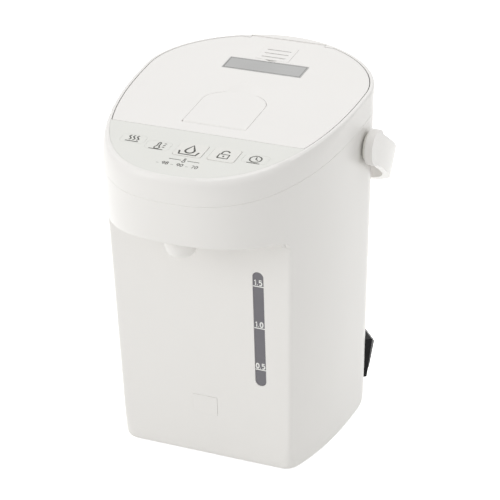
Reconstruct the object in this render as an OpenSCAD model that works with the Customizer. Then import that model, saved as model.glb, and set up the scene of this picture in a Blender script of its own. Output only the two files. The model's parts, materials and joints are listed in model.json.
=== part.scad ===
// Electric thermo pot: a two litre water heater with a pump, a spout hood and a hinged lid.
// Plan sizes are measured from the vessel's axis; heights are measured from the table.
// The finished pot stands centred on the origin, front towards -Y.

/* [Body] */
// Width of the body at the top
body_w = 187; // [176:1:210]
// Reach of the body in front of the vessel's axis
body_front = 156; // [150:1:170]
// Reach of the body behind the vessel's axis
body_rear = 81; // [80:0.5:95]
// Distance of the body's widest place behind the vessel's axis
widest = 6; // [0:0.5:8]
// Squareness of the front of the plan, where 2 is an ellipse
front_square = 2.55; // [2.5:0.05:3.2]
// Squareness of the rear of the plan, where 2 is an ellipse
rear_square = 1.9; // [1.85:0.05:2.4]
// How far the wall leans in for each millimetre down
body_taper = 0.028; // [0.015:0.001:0.03]
// Height of the top over the vessel's axis
pot_h = 276.6; // [274:1:300]
// Slope of the top down to the front, in degrees
top_slope = 5.9; // [5:0.1:7]
// Thickness of the moulded walls
wall = 2.5; // [2:0.1:3]
// Height of the casing's lower edge above the table
casing_lift = 4; // [4:0.5:7]

/* [Front] */
// Distance from the vessel's axis to the flat front, at the table
face_dist = 102; // [101:0.5:108]
// Lean of the flat front towards the hood, in degrees
face_lean = 1.3; // [0:0.1:2.5]
// Height from the hood's lower edge to the top, over the vessel's axis
hood_drop = 68.6; // [62.6:1:72.6]
// Radius of the recess's upper corners
recess_r = 10; // [6:1:14]
// Half width of the recess under the hood
recess_half_w = 77; // [72:1:80]
// Depth that the hood floor lies up inside the hood
hood_floor_depth = 2; // [1:0.5:4]
// Width of the bare badge tile
badge_w = 20.6; // [12:0.2:30]
// Height of the badge tile
badge_h = 16.2; // [10:0.2:24]
// Height of the badge tile's centre
badge_z = 46.8; // [36:0.5:60]
// Thickness of the badge tile
badge_t = 0.8; // [0.5:0.1:1.2]

/* [Gauge] */
// Distance of the gauge from the centre line
gauge_x = 47.5; // [40:0.5:52]
// Width of the gauge window
gauge_w = 9; // [8:0.5:12]
// Height of the window's lower end
gauge_low = 73.5; // [68:0.5:80]
// Height from the window's upper end to the hood's lower edge
gauge_drop = 36.5; // [28:0.5:56]
// Outer radius of the gauge tube
tube_r = 4.5; // [4:0.1:5]
// Wall of the gauge tube
tube_wall = 1.2; // [0.8:0.1:1.5]

/* [Top frame] */
// Height of the frame from its seam to the top
frame_h = 19.5; // [19:0.1:24]
// Width of the rim round the lid
rim_w = 1.6; // [1.4:0.1:3]
// Distance from the vessel's axis to the front of the lid
panel_line = 87.5; // [86:0.5:91]
// Inward reach of the front shoulder
shoulder_in = 4.7; // [4:0.1:7]
// Squareness of the top's front edge, where 2 is an ellipse
top_square = 2.35; // [2.1:0.05:2.6]
// Height of the front shoulder's curve
shoulder_drop = 16.5; // [12:0.5:17]
// Radius of the rim's outer edge at the rear
rim_r = 1.6; // [1:0.1:2]
// Radius of the filling mouth
mouth_r = 60; // [57:0.5:61]

/* [Keys] */
// Thickness of the panel film
panel_t = 1; // [0.8:0.1:1.4]
// Height that the two raised keys stand above the film
key_raise = 0.3; // [0.1:0.1:0.6]
// Travel of the keys
key_travel = 0.6; // [0.4:0.1:0.8]
// Width of the dispense key
dispense_w = 22.5; // [20:0.5:24]
// Width of the unlock key
unlock_w = 21; // [17:0.5:22]
// Depth of the raised keys
key_d = 18.5; // [14:0.5:20]
// Width of the flat keys
flat_key_w = 19; // [14:0.5:20]
// Depth of the flat keys
flat_key_d = 11; // [8:0.5:14]
// Gap round each key
key_gap = 0.3; // [0.2:0.05:0.4]

/* [Lid] */
// Gap round the lid
lid_gap = 0.6; // [0.5:0.05:0.9]
// Thickness of the lid's top
lid_t = 2.2; // [1.8:0.1:2.6]
// Height of the lid's side wall
lid_skirt = 14; // [13:0.5:15]
// Thickness of the lid's underside
underside_t = 2.3; // [1.8:0.1:2.6]
// Distance from the hinge axis to the rear edge of the lid's well
hinge_in = 6.4; // [6.3:0.1:7.2]
// Depth of the hinge axis under the lid's top
hinge_depth = 1.7; // [1.5:0.05:1.8]
// Radius of the hinge pin
hinge_pin_r = 0.9; // [0.7:0.05:1]
// Height of the lid's upper lip, which stands out beyond its side wall
lid_lip = 0.8; // [0.6:0.1:1]
// Radius of the plug that dips into the filling mouth
plug_r = 56.5; // [52:0.5:56.5]
// Depth of the plug's lower face under the top
plug_depth = 36.6; // [34.6:0.5:38.6]
// Width of the steam vent
vent_w = 28; // [20:1:30]
// Depth of the steam vent
vent_d = 22; // [16:1:22]
// Distance of the vent's centre behind the vessel's axis
vent_y = 48; // [44:0.5:50]
// Width of the foil plate
foil_w = 66; // [50:1:70]
// Depth of the foil plate
foil_d = 18.5; // [12:0.5:20]
// Distance of the foil plate's centre behind the vessel's axis
foil_y = 24.5; // [18:0.5:26]

/* [Lid lever] */
// Half width of the lever
lever_half_w = 25.5; // [22:0.5:28]
// Distance of the lever's pin in front of the vessel's axis
lever_pin_y = 71; // [69.5:0.5:72]
// Length of the lever's straight sides behind the pin
lever_side = 37; // [30:0.5:40]
// Reach of the lever's round end beyond its straight sides
lever_bow = 17.5; // [12:0.5:20]
// Thickness of the lever
lever_t = 2.4; // [2:0.1:2.8]
// Gap round the lever
lever_gap = 0.45; // [0.35:0.05:0.6]
// Depth of the finger pocket under the lever
pocket_depth = 9.2; // [8.6:0.1:9.6]
// Radius of the lever's pin
lever_pin_r = 0.8; // [0.6:0.05:0.9]
// Radius of the lever's barrel
lever_barrel_r = 3.2; // [3:0.1:3.4]

/* [Handle] */
// Depth of the handle's pivots under the top
pivot_depth = 39.6; // [36.6:0.5:46.6]
// Clearance between the body's widest place and the handle's arms
arm_gap = 3; // [2.5:0.1:6]
// How much further the handle reaches than the body's rear
grip_gap = 24; // [22:0.5:40]
// Thickness of the handle's band
band_t = 6; // [5:0.5:8]
// Width of the handle's band
band_w = 24; // [20:0.5:26]
// Squareness of the handle's corners, where 2 is an ellipse
handle_square = 3; // [2.6:0.1:3.4]
// Droop of the stowed handle below level, in degrees
handle_droop = 33; // [28:1:34]
// Radius of the handle's pivot pins
pivot_r = 4; // [3:0.5:5]
// Radius of the handle's end bosses
boss_r = 14; // [13:0.5:16]

/* [Vessel] */
// Inner radius of the vessel
vessel_r = 66.5; // [64:0.5:67]
// Wall of the vessel
vessel_t = 0.8; // [0.6:0.1:1]
// Height of the vessel's floor
vessel_floor = 50; // [50:0.5:52]
// Depth of the vessel's rim under the top
rim_depth = 33.3; // [32.6:0.5:36.6]
// Thickness of the insulation sleeve
sleeve_t = 2.4; // [1.5:0.1:2.6]
// Thickness of the vessel seal
seal_t = 1.7; // [1.2:0.1:2]
// Thickness of the heater plate
heater_t = 4; // [3:0.5:4.5]
// Radius of the heater plate
heater_r = 40; // [36:1:42]

/* [Pump] */
// Distance of the vessel's outlet in front of the vessel's axis
outlet_y = 42; // [40:0.5:43]
// Radius of the pump housing
pump_r = 19; // [18:0.5:20]
// Radius of the pump motor
motor_r = 14; // [12:0.5:15]
// Height of the pump motor
motor_h = 17.5; // [16:0.5:18]
// Radius of the pump shaft
shaft_r = 1.5; // [1:0.1:2]
// Running clearance of shafts and pins in their bores
run_gap = 0.05; // [0.02:0.01:0.09]
// Outer radius of the water pipes
pipe_r = 5; // [4.6:0.1:5.5]
// Distance of the nozzle behind the body's front
nozzle_in = 20.5; // [18:0.5:22]
// Height of the nozzle under the hood's lower edge
nozzle_h = 15.5; // [12:0.5:19]

/* [Inlet] */
// Turn of the power inlet from the right towards the rear, in degrees
inlet_turn = 40; // [30:1:55]
// Width of the inlet housing
inlet_w = 34; // [28:1:36]
// Height of the inlet housing
inlet_h = 44; // [36:1:46]
// Height of the inlet's centre
inlet_z = 36; // [32:0.5:50]
// How far the inlet housing stands proud of the wall
inlet_proud = 8; // [4:0.5:10]

/* [Base] */
// Height of the base plate's underside
base_z = 2; // [1.5:0.1:2.5]
// Thickness of the base plate's floor
base_t = 3; // [2:0.1:4]
// Radius of the feet
foot_r = 8; // [6:0.5:9]
// Height of the feet
foot_h = 3; // [2.6:0.1:3.4]

/* [Hidden] */

// Clearances between pieces that are fitted to each other
fit_gap = 0.3;
close_gap = 0.1;
// Cuts run this far past the faces that they open
over = 1;
// Smoothness of the round pieces, and points in the plan of the body
$fn = 48;
plan_steps = 72;

tan_slope = tan(top_slope);
half_w = body_w / 2;
hood_h = pot_h - hood_drop;
gauge_high = hood_h - gauge_drop;
plug_low = pot_h - plug_depth;
pivot_z = pot_h - pivot_depth;
vessel_rim = pot_h - rim_depth;
nozzle_low = hood_h - nozzle_h;
arm_half_gap = half_w + arm_gap;
handle_reach = body_rear + grip_gap;

// The handle's rearmost point and the shoulder's front tip set where the pot's middle is
handle_back = (handle_reach + band_t) * cos(handle_droop) + band_w / 2 * sin(handle_droop);
front_tip = body_front - lean_at(top_z(-body_front) - shoulder_drop);
plan_shift = (front_tip - handle_back) / 2;

// ---------- the plan of the body and the planes that cut it ----------

function power(v, p) = sign(v) * pow(abs(v), p);

// One point of the plan at turn t, for a half width, a reach of front and rear and a squareness
function plan_point(t, half, front, rear, square = front_square) =
    let(p = 2 / (sin(t) < 0 ? square : rear_square), reach = sin(t) < 0 ? front + widest : rear - widest)
    [half * power(cos(t), p), widest + reach * power(sin(t), p)];

// One point of the wall, and one of the line where the shoulder meets the top
function wall_point(t, less) = plan_point(t, half_w - less, body_front - less, body_rear - less);
function top_point(t, less) = plan_point(t, half_w - rim_r - less, body_front - shoulder_in - less,
    body_rear - rim_r - less, top_square);

// The lean of the wall at a height
function lean_at(z) = body_taper * (pot_h - z);

// The plan at a height, moved inwards by an inset
function plan(z, inset) = [for (i = [0 : plan_steps - 1])
    wall_point(i * 360 / plan_steps, lean_at(z) + inset)];

function top_z(y) = pot_h + tan_slope * y;
function seam_z(y) = top_z(y) - frame_h / cos(top_slope);
function face_y(z) = -(face_dist + tan(face_lean) * z);

// 0 beside and behind the pot's middle, 1 at the front, and a smooth change between them
shoulder_from = -20;
shoulder_to = -110;
function front_share(y) =
    let(s = min(1, max(0, (y - shoulder_from) / (shoulder_to - shoulder_from)))) s * s * (3 - 2 * s);

// A closed skin through rings that have the same number of points, listed from the lowest
module loft(rings) {
    n = len(rings[0]);
    last = len(rings) - 1;
    polyhedron(
        points = [for (ring = rings) each ring],
        faces = [
            [for (i = [0 : n - 1]) i],
            for (k = [0 : last - 1]) for (i = [0 : n - 1])
                [k * n + i, (k + 1) * n + i, (k + 1) * n + (i + 1) % n, k * n + (i + 1) % n],
            [for (i = [n - 1 : -1 : 0]) last * n + i]],
        convexity = 6);
}

// A ring of the wall at one height
function level_ring(z, inset) = [for (p = plan(z, inset)) [p[0], p[1], z]];

// A ring of the wall along a plane parallel to the top, some depth below it
function sloped_ring(depth, inset) = [for (i = [0 : plan_steps - 1])
    let(t = i * 360 / plan_steps,
        p = wall_point(t, lean_at(top_z(wall_point(t, 0)[1]) - depth) + inset))
    [p[0], p[1], top_z(p[1]) - depth]];

// A ring of the rounded shoulder, from 0 at the wall to 90 at the top
function shoulder_ring(turn, inset = 0) = [for (i = [0 : plan_steps - 1])
    let(t = i * 360 / plan_steps,
        share = front_share(wall_point(t, 0)[1]),
        depth = (rim_r + (shoulder_drop - rim_r) * share) * (1 - sin(turn)),
        low = wall_point(t, lean_at(top_z(wall_point(t, 0)[1]) - depth) + inset),
        high = top_point(t, inset),
        p = low * cos(turn) + high * (1 - cos(turn)))
    [p[0], p[1], top_z(p[1]) - depth]];

// Stands a piece in its place on the table
module place() translate([0, plan_shift, 0]) children();

// Puts children on the sloping top: z = 0 is its surface, y runs up the slope
module on_top() place() translate([0, 0, pot_h]) rotate([top_slope, 0, 0]) children();

// Puts children of the sloping top back in the upright position
module upright() rotate([-top_slope, 0, 0]) translate([0, 0, -pot_h]) children();

// The outline of the top, in its own slope
function top_plan(inset) = [for (i = [0 : plan_steps - 1])
    let(p = top_point(i * 360 / plan_steps, inset)) [p[0], p[1] / cos(top_slope)]];

// A slab of the top's outline between two lines across it and two depths, for use on the top
module top_slab(inset, from, to, low, high) intersection() {
    translate([0, 0, low]) linear_extrude(high - low) polygon(top_plan(inset));
    translate([-body_w, from, low - over]) cube([2 * body_w, to - from, high - low + 2 * over]);
}

// The flat front's own plane: z = 0 is its surface, y runs up the face, x to the right
module on_face_plane() translate([0, -face_dist, 0]) rotate([90 + face_lean, 0, 0]) children();
module on_face() place() on_face_plane() children();

// A tube along z from z = low to high
module tube(outer, inner, low, high) difference() {
    translate([0, 0, low]) cylinder(r = outer, h = high - low);
    translate([0, 0, low - over]) cylinder(r = inner, h = high - low + 2 * over);
}

// A rod along z from z = low to high
module rod(r, low, high) translate([0, 0, low]) cylinder(r = r, h = high - low);

// A plate with round corners, centred on the origin, standing on z = 0
module rounded_plate(w, d, r, t) {
    translate([-w / 2 + r, -d / 2, 0]) cube([w - 2 * r, d, t]);
    translate([-w / 2, -d / 2 + r, 0]) cube([w, d - 2 * r, t]);
    for (x = [-1, 1], y = [-1, 1])
        translate([x * (w / 2 - r), y * (d / 2 - r), 0]) cylinder(r = r, h = t);
}

// An upright slot with round ends in the plane z = 0
module slot(w, low, high, t) {
    translate([-w / 2, low + w / 2, 0]) cube([w, high - low - w, t]);
    for (y = [low + w / 2, high - w / 2]) translate([0, y, 0]) cylinder(d = w, h = t);
}

// A thin plate with square corners, centred in x and y, from z = low to high
module block(w, d, low, high) translate([-w / 2, -d / 2, low]) cube([w, d, high - low]);

// A rod along x, centred on the origin
module cross_rod(r, length) rotate([0, 90, 0]) cylinder(r = r, h = length, center = true);

// ---------- levels and places that several pieces share ----------

wall_top_depth = frame_h / cos(top_slope);
hood_seat = hood_h + hood_floor_depth;
base_top = base_z + base_t;
pivot_hole_r = pivot_r + 1.5;
gauge_y = face_dist - wall - 9;
gauge_at = [gauge_x, -gauge_y, 0];
pump_offset = 12;
pump_at = [gauge_x - pump_offset, -outlet_y, 0];
nozzle_y = body_front - nozzle_in;
nozzle_at = [0, -nozzle_y, 0];
pipe_bore = pipe_r - 1.4;
seal_low = vessel_rim;
seal_high = vessel_rim + seal_t;
flange_out = vessel_r + vessel_t + 4.2;

// ---------- casing ----------

// All that lies in front of the plane some distance behind the flat front
module ahead_of_face(back) on_face_plane() translate([-body_w, -body_front, -back])
    cube([2 * body_w, pot_h + 2 * body_front, 2 * body_front]);

// The cup space in front of the flat face, under the hood, with round upper corners
module cup_space() intersection() {
    ahead_of_face(0);
    union() {
        wide = 2 * recess_half_w;
        translate([recess_r - recess_half_w, -2 * body_front, -over])
            cube([wide - 2 * recess_r, 2 * body_front, hood_h + over]);
        translate([-recess_half_w, -2 * body_front, -over])
            cube([wide, 2 * body_front, hood_h - recess_r + over]);
        for (x = [-1, 1]) translate([x * (recess_half_w - recess_r), 0, hood_h - recess_r])
            rotate([90, 0, 0]) cylinder(r = recess_r, h = 2 * body_front);
    }
}

// The flat wall and all that lies in front of it, up to the hood floor's seat
module below_seat() intersection() {
    ahead_of_face(wall);
    translate([-body_w, -2 * body_front, -over]) cube([2 * body_w, 2 * body_front, hood_seat + over]);
}

// Where the inlet's middle meets the wall
inlet_axis = let(a = half_w - lean_at(inlet_z), b = body_rear - widest - lean_at(inlet_z),
    p = 1 / (rear_square - 1), u = a * cos(inlet_turn), v = b * sin(inlet_turn),
    reach = pow(pow(u, rear_square * p) + pow(v, rear_square * p), 1 / rear_square))
    [a * pow(u, p) / reach, widest + b * pow(v, p) / reach];

// Puts children at the inlet: z points outwards from the wall, x down
module at_inlet() place() translate([inlet_axis[0], inlet_axis[1], inlet_z])
    rotate([0, 0, inlet_turn]) rotate([0, 90, 0]) children();

module casing_shell() difference() {
    loft([level_ring(casing_lift, 0), level_ring(hood_h, 0), sloped_ring(wall_top_depth, 0)]);
    difference() {
        loft([level_ring(casing_lift - over, wall), level_ring(hood_h, wall),
            sloped_ring(wall_top_depth - over, wall)]);
        below_seat();
    }
    // the hood's mouth, which the hood floor closes
    intersection() {
        loft([level_ring(hood_h - close_gap, wall), level_ring(hood_seat + over, wall)]);
        ahead_of_face(0);
    }
    cup_space();
}

screw_turns = [62, 118, -12, -168];
screw_r = 1.6;
screw_head_r = 3;
screw_head_h = 1.6;
screw_boss_r = 4.2;
screw_top = 24;
function base_spot(turn, inset) = wall_point(turn, lean_at(base_z) + inset);
function screw_spot(turn) = base_spot(turn, wall + 2.5);

module outer_casing() color("ivory") difference() {
    place() union() {
        casing_shell();
        for (turn = screw_turns) translate(screw_spot(turn)) rod(screw_boss_r, base_top, screw_top + 2);
    }
    on_face() {
        translate([gauge_x, 0, -wall - over]) slot(gauge_w, gauge_low, gauge_high, wall + 2 * over);
        translate([0, badge_z, -badge_t]) block(badge_w, badge_h, 0, badge_t + over);
    }
    place() translate([0, 0, pivot_z]) cross_rod(pivot_hole_r, 2 * body_w);
    at_inlet() block(inlet_h + 2 * close_gap, inlet_w + 2 * close_gap, -15, 15);
    place() for (turn = screw_turns) translate(screw_spot(turn))
        rod(screw_r + run_gap, base_top - over, screw_top + 0.5);
}

// ---------- hood floor and nozzle ----------

hood_floor_t = 2.4;
nozzle_top_r = 12.5;
nozzle_tip_r = 7.5;
nozzle_collar_r = 8;
nozzle_collar_h = 5;
spout_low = hood_seat + fit_gap;

// Rests on the flat wall's upper edge and closes the hood from below
module hood_floor() color("ivory") place() difference() {
    translate([0, 0, hood_seat]) intersection() {
        linear_extrude(hood_floor_t) polygon(plan(hood_seat, wall + fit_gap));
        translate([-body_w, face_y(hood_seat) + wall - 2 * body_front, -over])
            cube([2 * body_w, 2 * body_front, hood_floor_t + 2 * over]);
    }
    translate(nozzle_at) rod(nozzle_collar_r + close_gap, hood_seat - over, hood_seat + 2 * hood_floor_t);
}

module nozzle() color("ivory") place() translate(nozzle_at) difference() {
    union() {
        translate([0, 0, nozzle_low])
            cylinder(r1 = nozzle_tip_r, r2 = nozzle_top_r, h = hood_seat - nozzle_low);
        rod(nozzle_collar_r, hood_seat - close_gap, hood_seat + nozzle_collar_h);
    }
    rod(pipe_bore, nozzle_low - over, hood_seat + over);
    rod(pipe_r + run_gap, hood_seat + close_gap, hood_seat + nozzle_collar_h + over);
}

// ---------- base ----------

foot_turns = [40, 140, -32, -148];
foot_stem_r = 2.5;
foot_inset = 14;
edge_in = 1.2;
board_t = 1.6;
board_low = base_top + 9;
board_at = [-24, 16, 0];
board_w = 60;
board_d = 48;
post_r = 2.5;
cradle_h = 5;
function foot_spot(turn) = base_spot(turn, foot_inset);
board_posts = [for (x = [-1, 1], y = [-1, 1]) board_at + [x * (board_w / 2 - 4), y * (board_d / 2 - 4), 0]];

// A flat slab of the plan, cut off some distance behind the flat front
module floor_slab(inset, low, high) intersection() {
    translate([0, 0, low]) linear_extrude(high - low) polygon(plan(casing_lift, inset));
    translate([-body_w, inset - face_dist, low - over])
        cube([2 * body_w, 2 * body_front, high - low + 2 * over]);
}

module base_plate() color("dimgray") place() difference() {
    union() {
        floor_slab(edge_in, base_z, casing_lift);
        floor_slab(wall + fit_gap, base_z, base_top);
        translate(pump_at) tube(motor_r + 2.4, motor_r + close_gap, base_top - over, base_top + cradle_h);
        for (p = board_posts) translate(p) rod(post_r, base_top - over, board_low);
    }
    for (turn = foot_turns) translate(foot_spot(turn)) {
        rod(foot_r + close_gap, base_z - over, foot_h);
        rod(foot_stem_r + run_gap, base_z - over, base_top + over);
    }
    for (turn = screw_turns) translate(screw_spot(turn)) {
        rod(screw_head_r + close_gap, base_z - over, base_z + screw_head_h);
        rod(screw_r + run_gap, base_z - over, base_top + over);
    }
}

module feet() color("darkslategray") place() for (turn = foot_turns) translate(foot_spot(turn)) {
    rod(foot_r, 0, foot_h);
    rod(foot_stem_r, foot_h - close_gap, base_top);
}

module base_screws() color("silver") place() for (turn = screw_turns) translate(screw_spot(turn)) {
    rod(screw_head_r, base_z, base_z + screw_head_h);
    rod(screw_r, base_z + screw_head_h - close_gap, screw_top);
}

// ---------- top frame ----------

well_depth = frame_h - wall;
deck_back = -panel_line - wall;
deck_edge = 1.5;
film_in = 1.2;
lamp_r = 1.5;
lamp_spots = [for (x = [-14.5, -3, 8.5]) [x, -panel_line - 47.8]];
hinge_at = [0, (body_rear - rim_r - rim_w) / cos(top_slope) - hinge_in, -hinge_depth];
hinge_gap = 0.4;
lid_back = hinge_at[1] - 2.4;
hinge_half_w = 0.35 * (half_w - rim_r - rim_w - lid_gap);
ear_w = 6;
board_top = 8;
deck_low = 4.3;
control_board_t = 1.5;
board_edge = 10;
keys_board_w = 104;
keys_board_d = 30;
lamps_board_w = 56;
lamps_board_d = 14;
control_posts = [for (x = [-36, 36], y = [-panel_line - 14, -panel_line - 36]) [x, y, 0]];

// Middle of each key on the top
reboil_spot = [-48.5, -panel_line - 22];
keep_warm_spot = [-26.5, -panel_line - 26];
dispense_spot = [-0.5, -panel_line - 25.7];
unlock_spot = [26, -panel_line - 25.2];
timer_spot = [50, -panel_line - 24];
key_spots = [reboil_spot, keep_warm_spot, dispense_spot, unlock_spot, timer_spot];
key_sizes = [[flat_key_w, flat_key_d], [flat_key_w, flat_key_d], [dispense_w, key_d],
    [unlock_w, key_d], [flat_key_w, flat_key_d]];
key_corner = 2.5;
key_t = 1.2;
stem_r = 3;
stem_gap = 0.4;
stem_end = 5.2;

// The keys' windows, wider than the keys by the gap, down to a depth
module key_windows(low, high) for (i = [0 : len(key_spots) - 1])
    translate([key_spots[i][0], key_spots[i][1], low])
        rounded_plate(key_sizes[i][0] + 2 * key_gap, key_sizes[i][1] + 2 * key_gap,
            key_corner + key_gap, high - low);

module top_frame() color("ivory") difference() {
    union() {
        place() loft([sloped_ring(wall_top_depth, 0),
            for (turn = [0, 22.5, 45, 67.5, 90]) shoulder_ring(turn)]);
        place() rod(mouth_r + wall, seal_high, pot_h - wall_top_depth + over);
        place() rod(flange_out, seal_high, seal_high + 2.4);
    }
    on_top() {
        // the lid's well and the hinge's notch behind it
        top_slab(rim_w, -panel_line, lid_back + lid_gap, -well_depth, over);
        translate([0, hinge_at[1] - 6, 0]) block(2 * (hinge_half_w + hinge_gap),
            2 * (6 + hinge_depth + hinge_gap), -2 * hinge_depth - hinge_gap, over);
        translate(hinge_at) cross_rod(hinge_pin_r + run_gap, 2 * (hinge_half_w + ear_w + fit_gap));
        // the panel film's seat, the keys' seats and the holes of their stems and of the lamps
        top_slab(film_in, -2 * body_front, -panel_line, -panel_t, over);
        key_windows(-panel_t - key_travel - 0.4, over);
        for (p = key_spots) translate(p) rod(stem_r + stem_gap, -2 * deck_low, over);
        for (p = lamp_spots) translate(p) rod(lamp_r + fit_gap, -2 * deck_low, over);
    }
    // the mouth, and the hollow under the panel with the control board's posts left standing
    place() rod(mouth_r, seal_high - over, pot_h);
    on_top() difference() {
        top_slab(-deck_edge, -2 * body_front, deck_back, -frame_h - over, -deck_low);
        for (p = control_posts) translate(p) rod(post_r, -board_top, -deck_low + over);
    }
}

// ---------- panel and keys ----------

module control_panel() color("whitesmoke") on_top() difference() {
    top_slab(film_in + close_gap, -2 * body_front, -panel_line, -panel_t, 0);
    key_windows(-panel_t - over, over);
}

// A key: its cap fills the window and its stem reaches down to its switch
module key(i, raise) on_top() translate(key_spots[i]) {
    translate([0, 0, -key_t]) rounded_plate(key_sizes[i][0], key_sizes[i][1], key_corner, key_t + raise);
    rod(stem_r, -stem_end, -key_t + close_gap);
}
module reboil_key() color("whitesmoke") key(0, 0);
module keep_warm_key() color("whitesmoke") key(1, 0);
module dispense_key() color("white") key(2, key_raise);
module unlock_key() color("white") key(3, key_raise);
module timer_key() color("whitesmoke") key(4, 0);

module control_board() color("darkgreen") on_top() {
    translate([0, -panel_line - board_edge, 0]) translate([0, -keys_board_d / 2, 0])
        block(keys_board_w, keys_board_d, -board_top - control_board_t, -board_top);
    translate([0, -panel_line - board_edge - keys_board_d + 2, 0]) translate([0, -lamps_board_d / 2, 0])
        block(lamps_board_w, lamps_board_d, -board_top - control_board_t, -board_top);
}

module key_switches() color("dimgray") on_top() for (p = key_spots) translate(p) {
    block(6, 6, -board_top, -board_top + 1.4);
    rod(1.6, -board_top + 1.3, -stem_end - key_travel - 0.2);
}

module indicator_lamps() color("lightgreen") on_top() for (p = lamp_spots) translate(p)
    rod(lamp_r, -board_top, -panel_t - 0.2);

// ---------- gauge and badge ----------

window_seat = 1;

module gauge_window() color("gray") on_face() translate([gauge_x, 0, 0]) {
    translate([0, 0, -wall - 0.05])
        slot(gauge_w - 2 * close_gap, gauge_low + close_gap, gauge_high - close_gap, wall - window_seat / 2);
    translate([0, 0, -wall - window_seat - 0.05])
        slot(gauge_w + 4, gauge_low - 2, gauge_high + 2, window_seat);
}

tube_low = 56;
tube_high = hood_seat + 0.5;
module gauge_tube() color("lightcyan") place() translate(gauge_at)
    tube(tube_r, tube_r - tube_wall, tube_low, tube_high);

// A dark channel behind the tube, open to the window
backing_w = 16;
backing_d = 18;
module gauge_backing() color("dimgray") on_face() translate([gauge_x, 0, -wall - window_seat - close_gap]) {
    mid = (gauge_low + gauge_high) / 2;
    long = gauge_high - gauge_low + 12;
    translate([0, mid, 0]) difference() {
        block(backing_w, long, -backing_d, 0);
        block(backing_w - 3, long + 2 * over, 1.5 - backing_d, over);
    }
}

module badge_tile() color("lightgray") on_face() translate([0, badge_z, -badge_t])
    block(badge_w - 2 * close_gap, badge_h - 2 * close_gap, 0, badge_t + 0.2);

// ---------- vessel and heater ----------

outlet_r = 6;
outlet_out = outlet_r + 1;
outlet_drop = 7;
vessel_under = vessel_floor - vessel_t;

module inner_vessel() color("silver") place() difference() {
    union() {
        rod(vessel_r + vessel_t, vessel_under, vessel_rim);
        rod(flange_out, vessel_rim - vessel_t, vessel_rim);
        translate(pump_at) rod(outlet_out, vessel_floor - outlet_drop, vessel_floor);
    }
    rod(vessel_r, vessel_floor, vessel_rim + over);
    translate(pump_at) rod(outlet_r, vessel_floor - outlet_drop - over, vessel_floor + over);
}

module vessel_seal() color("gray") place() tube(flange_out - 0.5, vessel_r + 0.3, seal_low, seal_high);

sleeve_r = vessel_r + vessel_t + fit_gap;
module insulation_sleeve() color("wheat") place()
    tube(sleeve_r + sleeve_t, sleeve_r, vessel_floor + 2, vessel_rim - vessel_t - 4.5);

heater_low = vessel_under - heater_t;
clamp_t = 1.5;
clamp_low = heater_low - clamp_t;
thermistor_r = 5.5;
module heater_plate() color("dimgray") place() tube(heater_r, thermistor_r + 2.5, heater_low, vessel_under);
module heater_clamp() color("silver") place() tube(heater_r + 1, thermistor_r + 0.5, clamp_low, heater_low);
module thermistor() color("dimgray") place() {
    rod(thermistor_r, clamp_low, vessel_under);
    rod(thermistor_r - 2, clamp_low - 6, clamp_low + over);
}
fuse_r = 2.5;
module thermal_fuse() color("ivory") place() translate([-25, 15, clamp_low - fuse_r]) cross_rod(fuse_r, 14);

// ---------- pump ----------

motor_top = base_top + motor_h;
housing_h = 11.5;
housing_floor = 2.2;
housing_top = motor_top + housing_h;
chamber_r = pump_r - 3;
gasket_t = 1;
cover_low = housing_top + gasket_t;
cover_t = 2;
spout_z = motor_top + 6.5;
spout_end = 32;
shaft_top = motor_top + 10.5;
impeller_r = chamber_r - 3;

module pump_motor() color("silver") place() translate(pump_at) difference() {
    rod(motor_r, base_top, motor_top);
    rod(shaft_r + run_gap, base_top + 3, motor_top + over);
}

module pump_housing() color("whitesmoke") place() translate(pump_at) difference() {
    union() {
        rod(pump_r, motor_top, housing_top);
        translate([pump_offset, 0, spout_z]) rotate([90, 0, 0]) cylinder(r = tube_r, h = spout_end);
    }
    rod(chamber_r, motor_top + housing_floor, housing_top + over);
    rod(shaft_r + run_gap, motor_top - over, motor_top + 2 * housing_floor);
    translate([pump_offset, 0, spout_z]) rotate([90, 0, 0])
        cylinder(r = tube_r - tube_wall, h = spout_end + over);
}

module pump_gasket() color("gray") place() translate(pump_at) tube(pump_r, chamber_r, housing_top, cover_low);

module pump_cover() color("whitesmoke") place() translate(pump_at) {
    tube(pump_r, outlet_r - 0.5, cover_low, cover_low + cover_t);
    tube(outlet_out, outlet_r - 0.5, cover_low, vessel_floor - outlet_drop - 1);
}

// Joins the vessel's outlet to the pump's cover
module suction_sleeve() color("white") place() translate(pump_at)
    tube(outlet_out + 2, outlet_out + run_gap, cover_low + cover_t + close_gap, vessel_floor - 1.5);

module pump_shaft() color("silver") place() translate(pump_at)
    rod(shaft_r, base_top + 3 + close_gap, shaft_top);

module impeller() color("white") place() translate(pump_at) difference() {
    union() {
        disc_low = motor_top + housing_floor + 0.6;
        rod(impeller_r, disc_low, disc_low + 1.4);
        rod(4, disc_low, shaft_top + close_gap);
        for (turn = [0 : 60 : 300]) rotate([0, 0, turn])
            translate([3, -0.6, disc_low + 1]) cube([impeller_r - 3.2, 1.2, 5.3]);
    }
    rod(shaft_r + 0.02, motor_top, shaft_top + over);
}

// ---------- water way to the nozzle ----------

hose_r = tube_r + 2;
hose_bend = 10;
hose_from = outlet_y + spout_end - 5;

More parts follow.
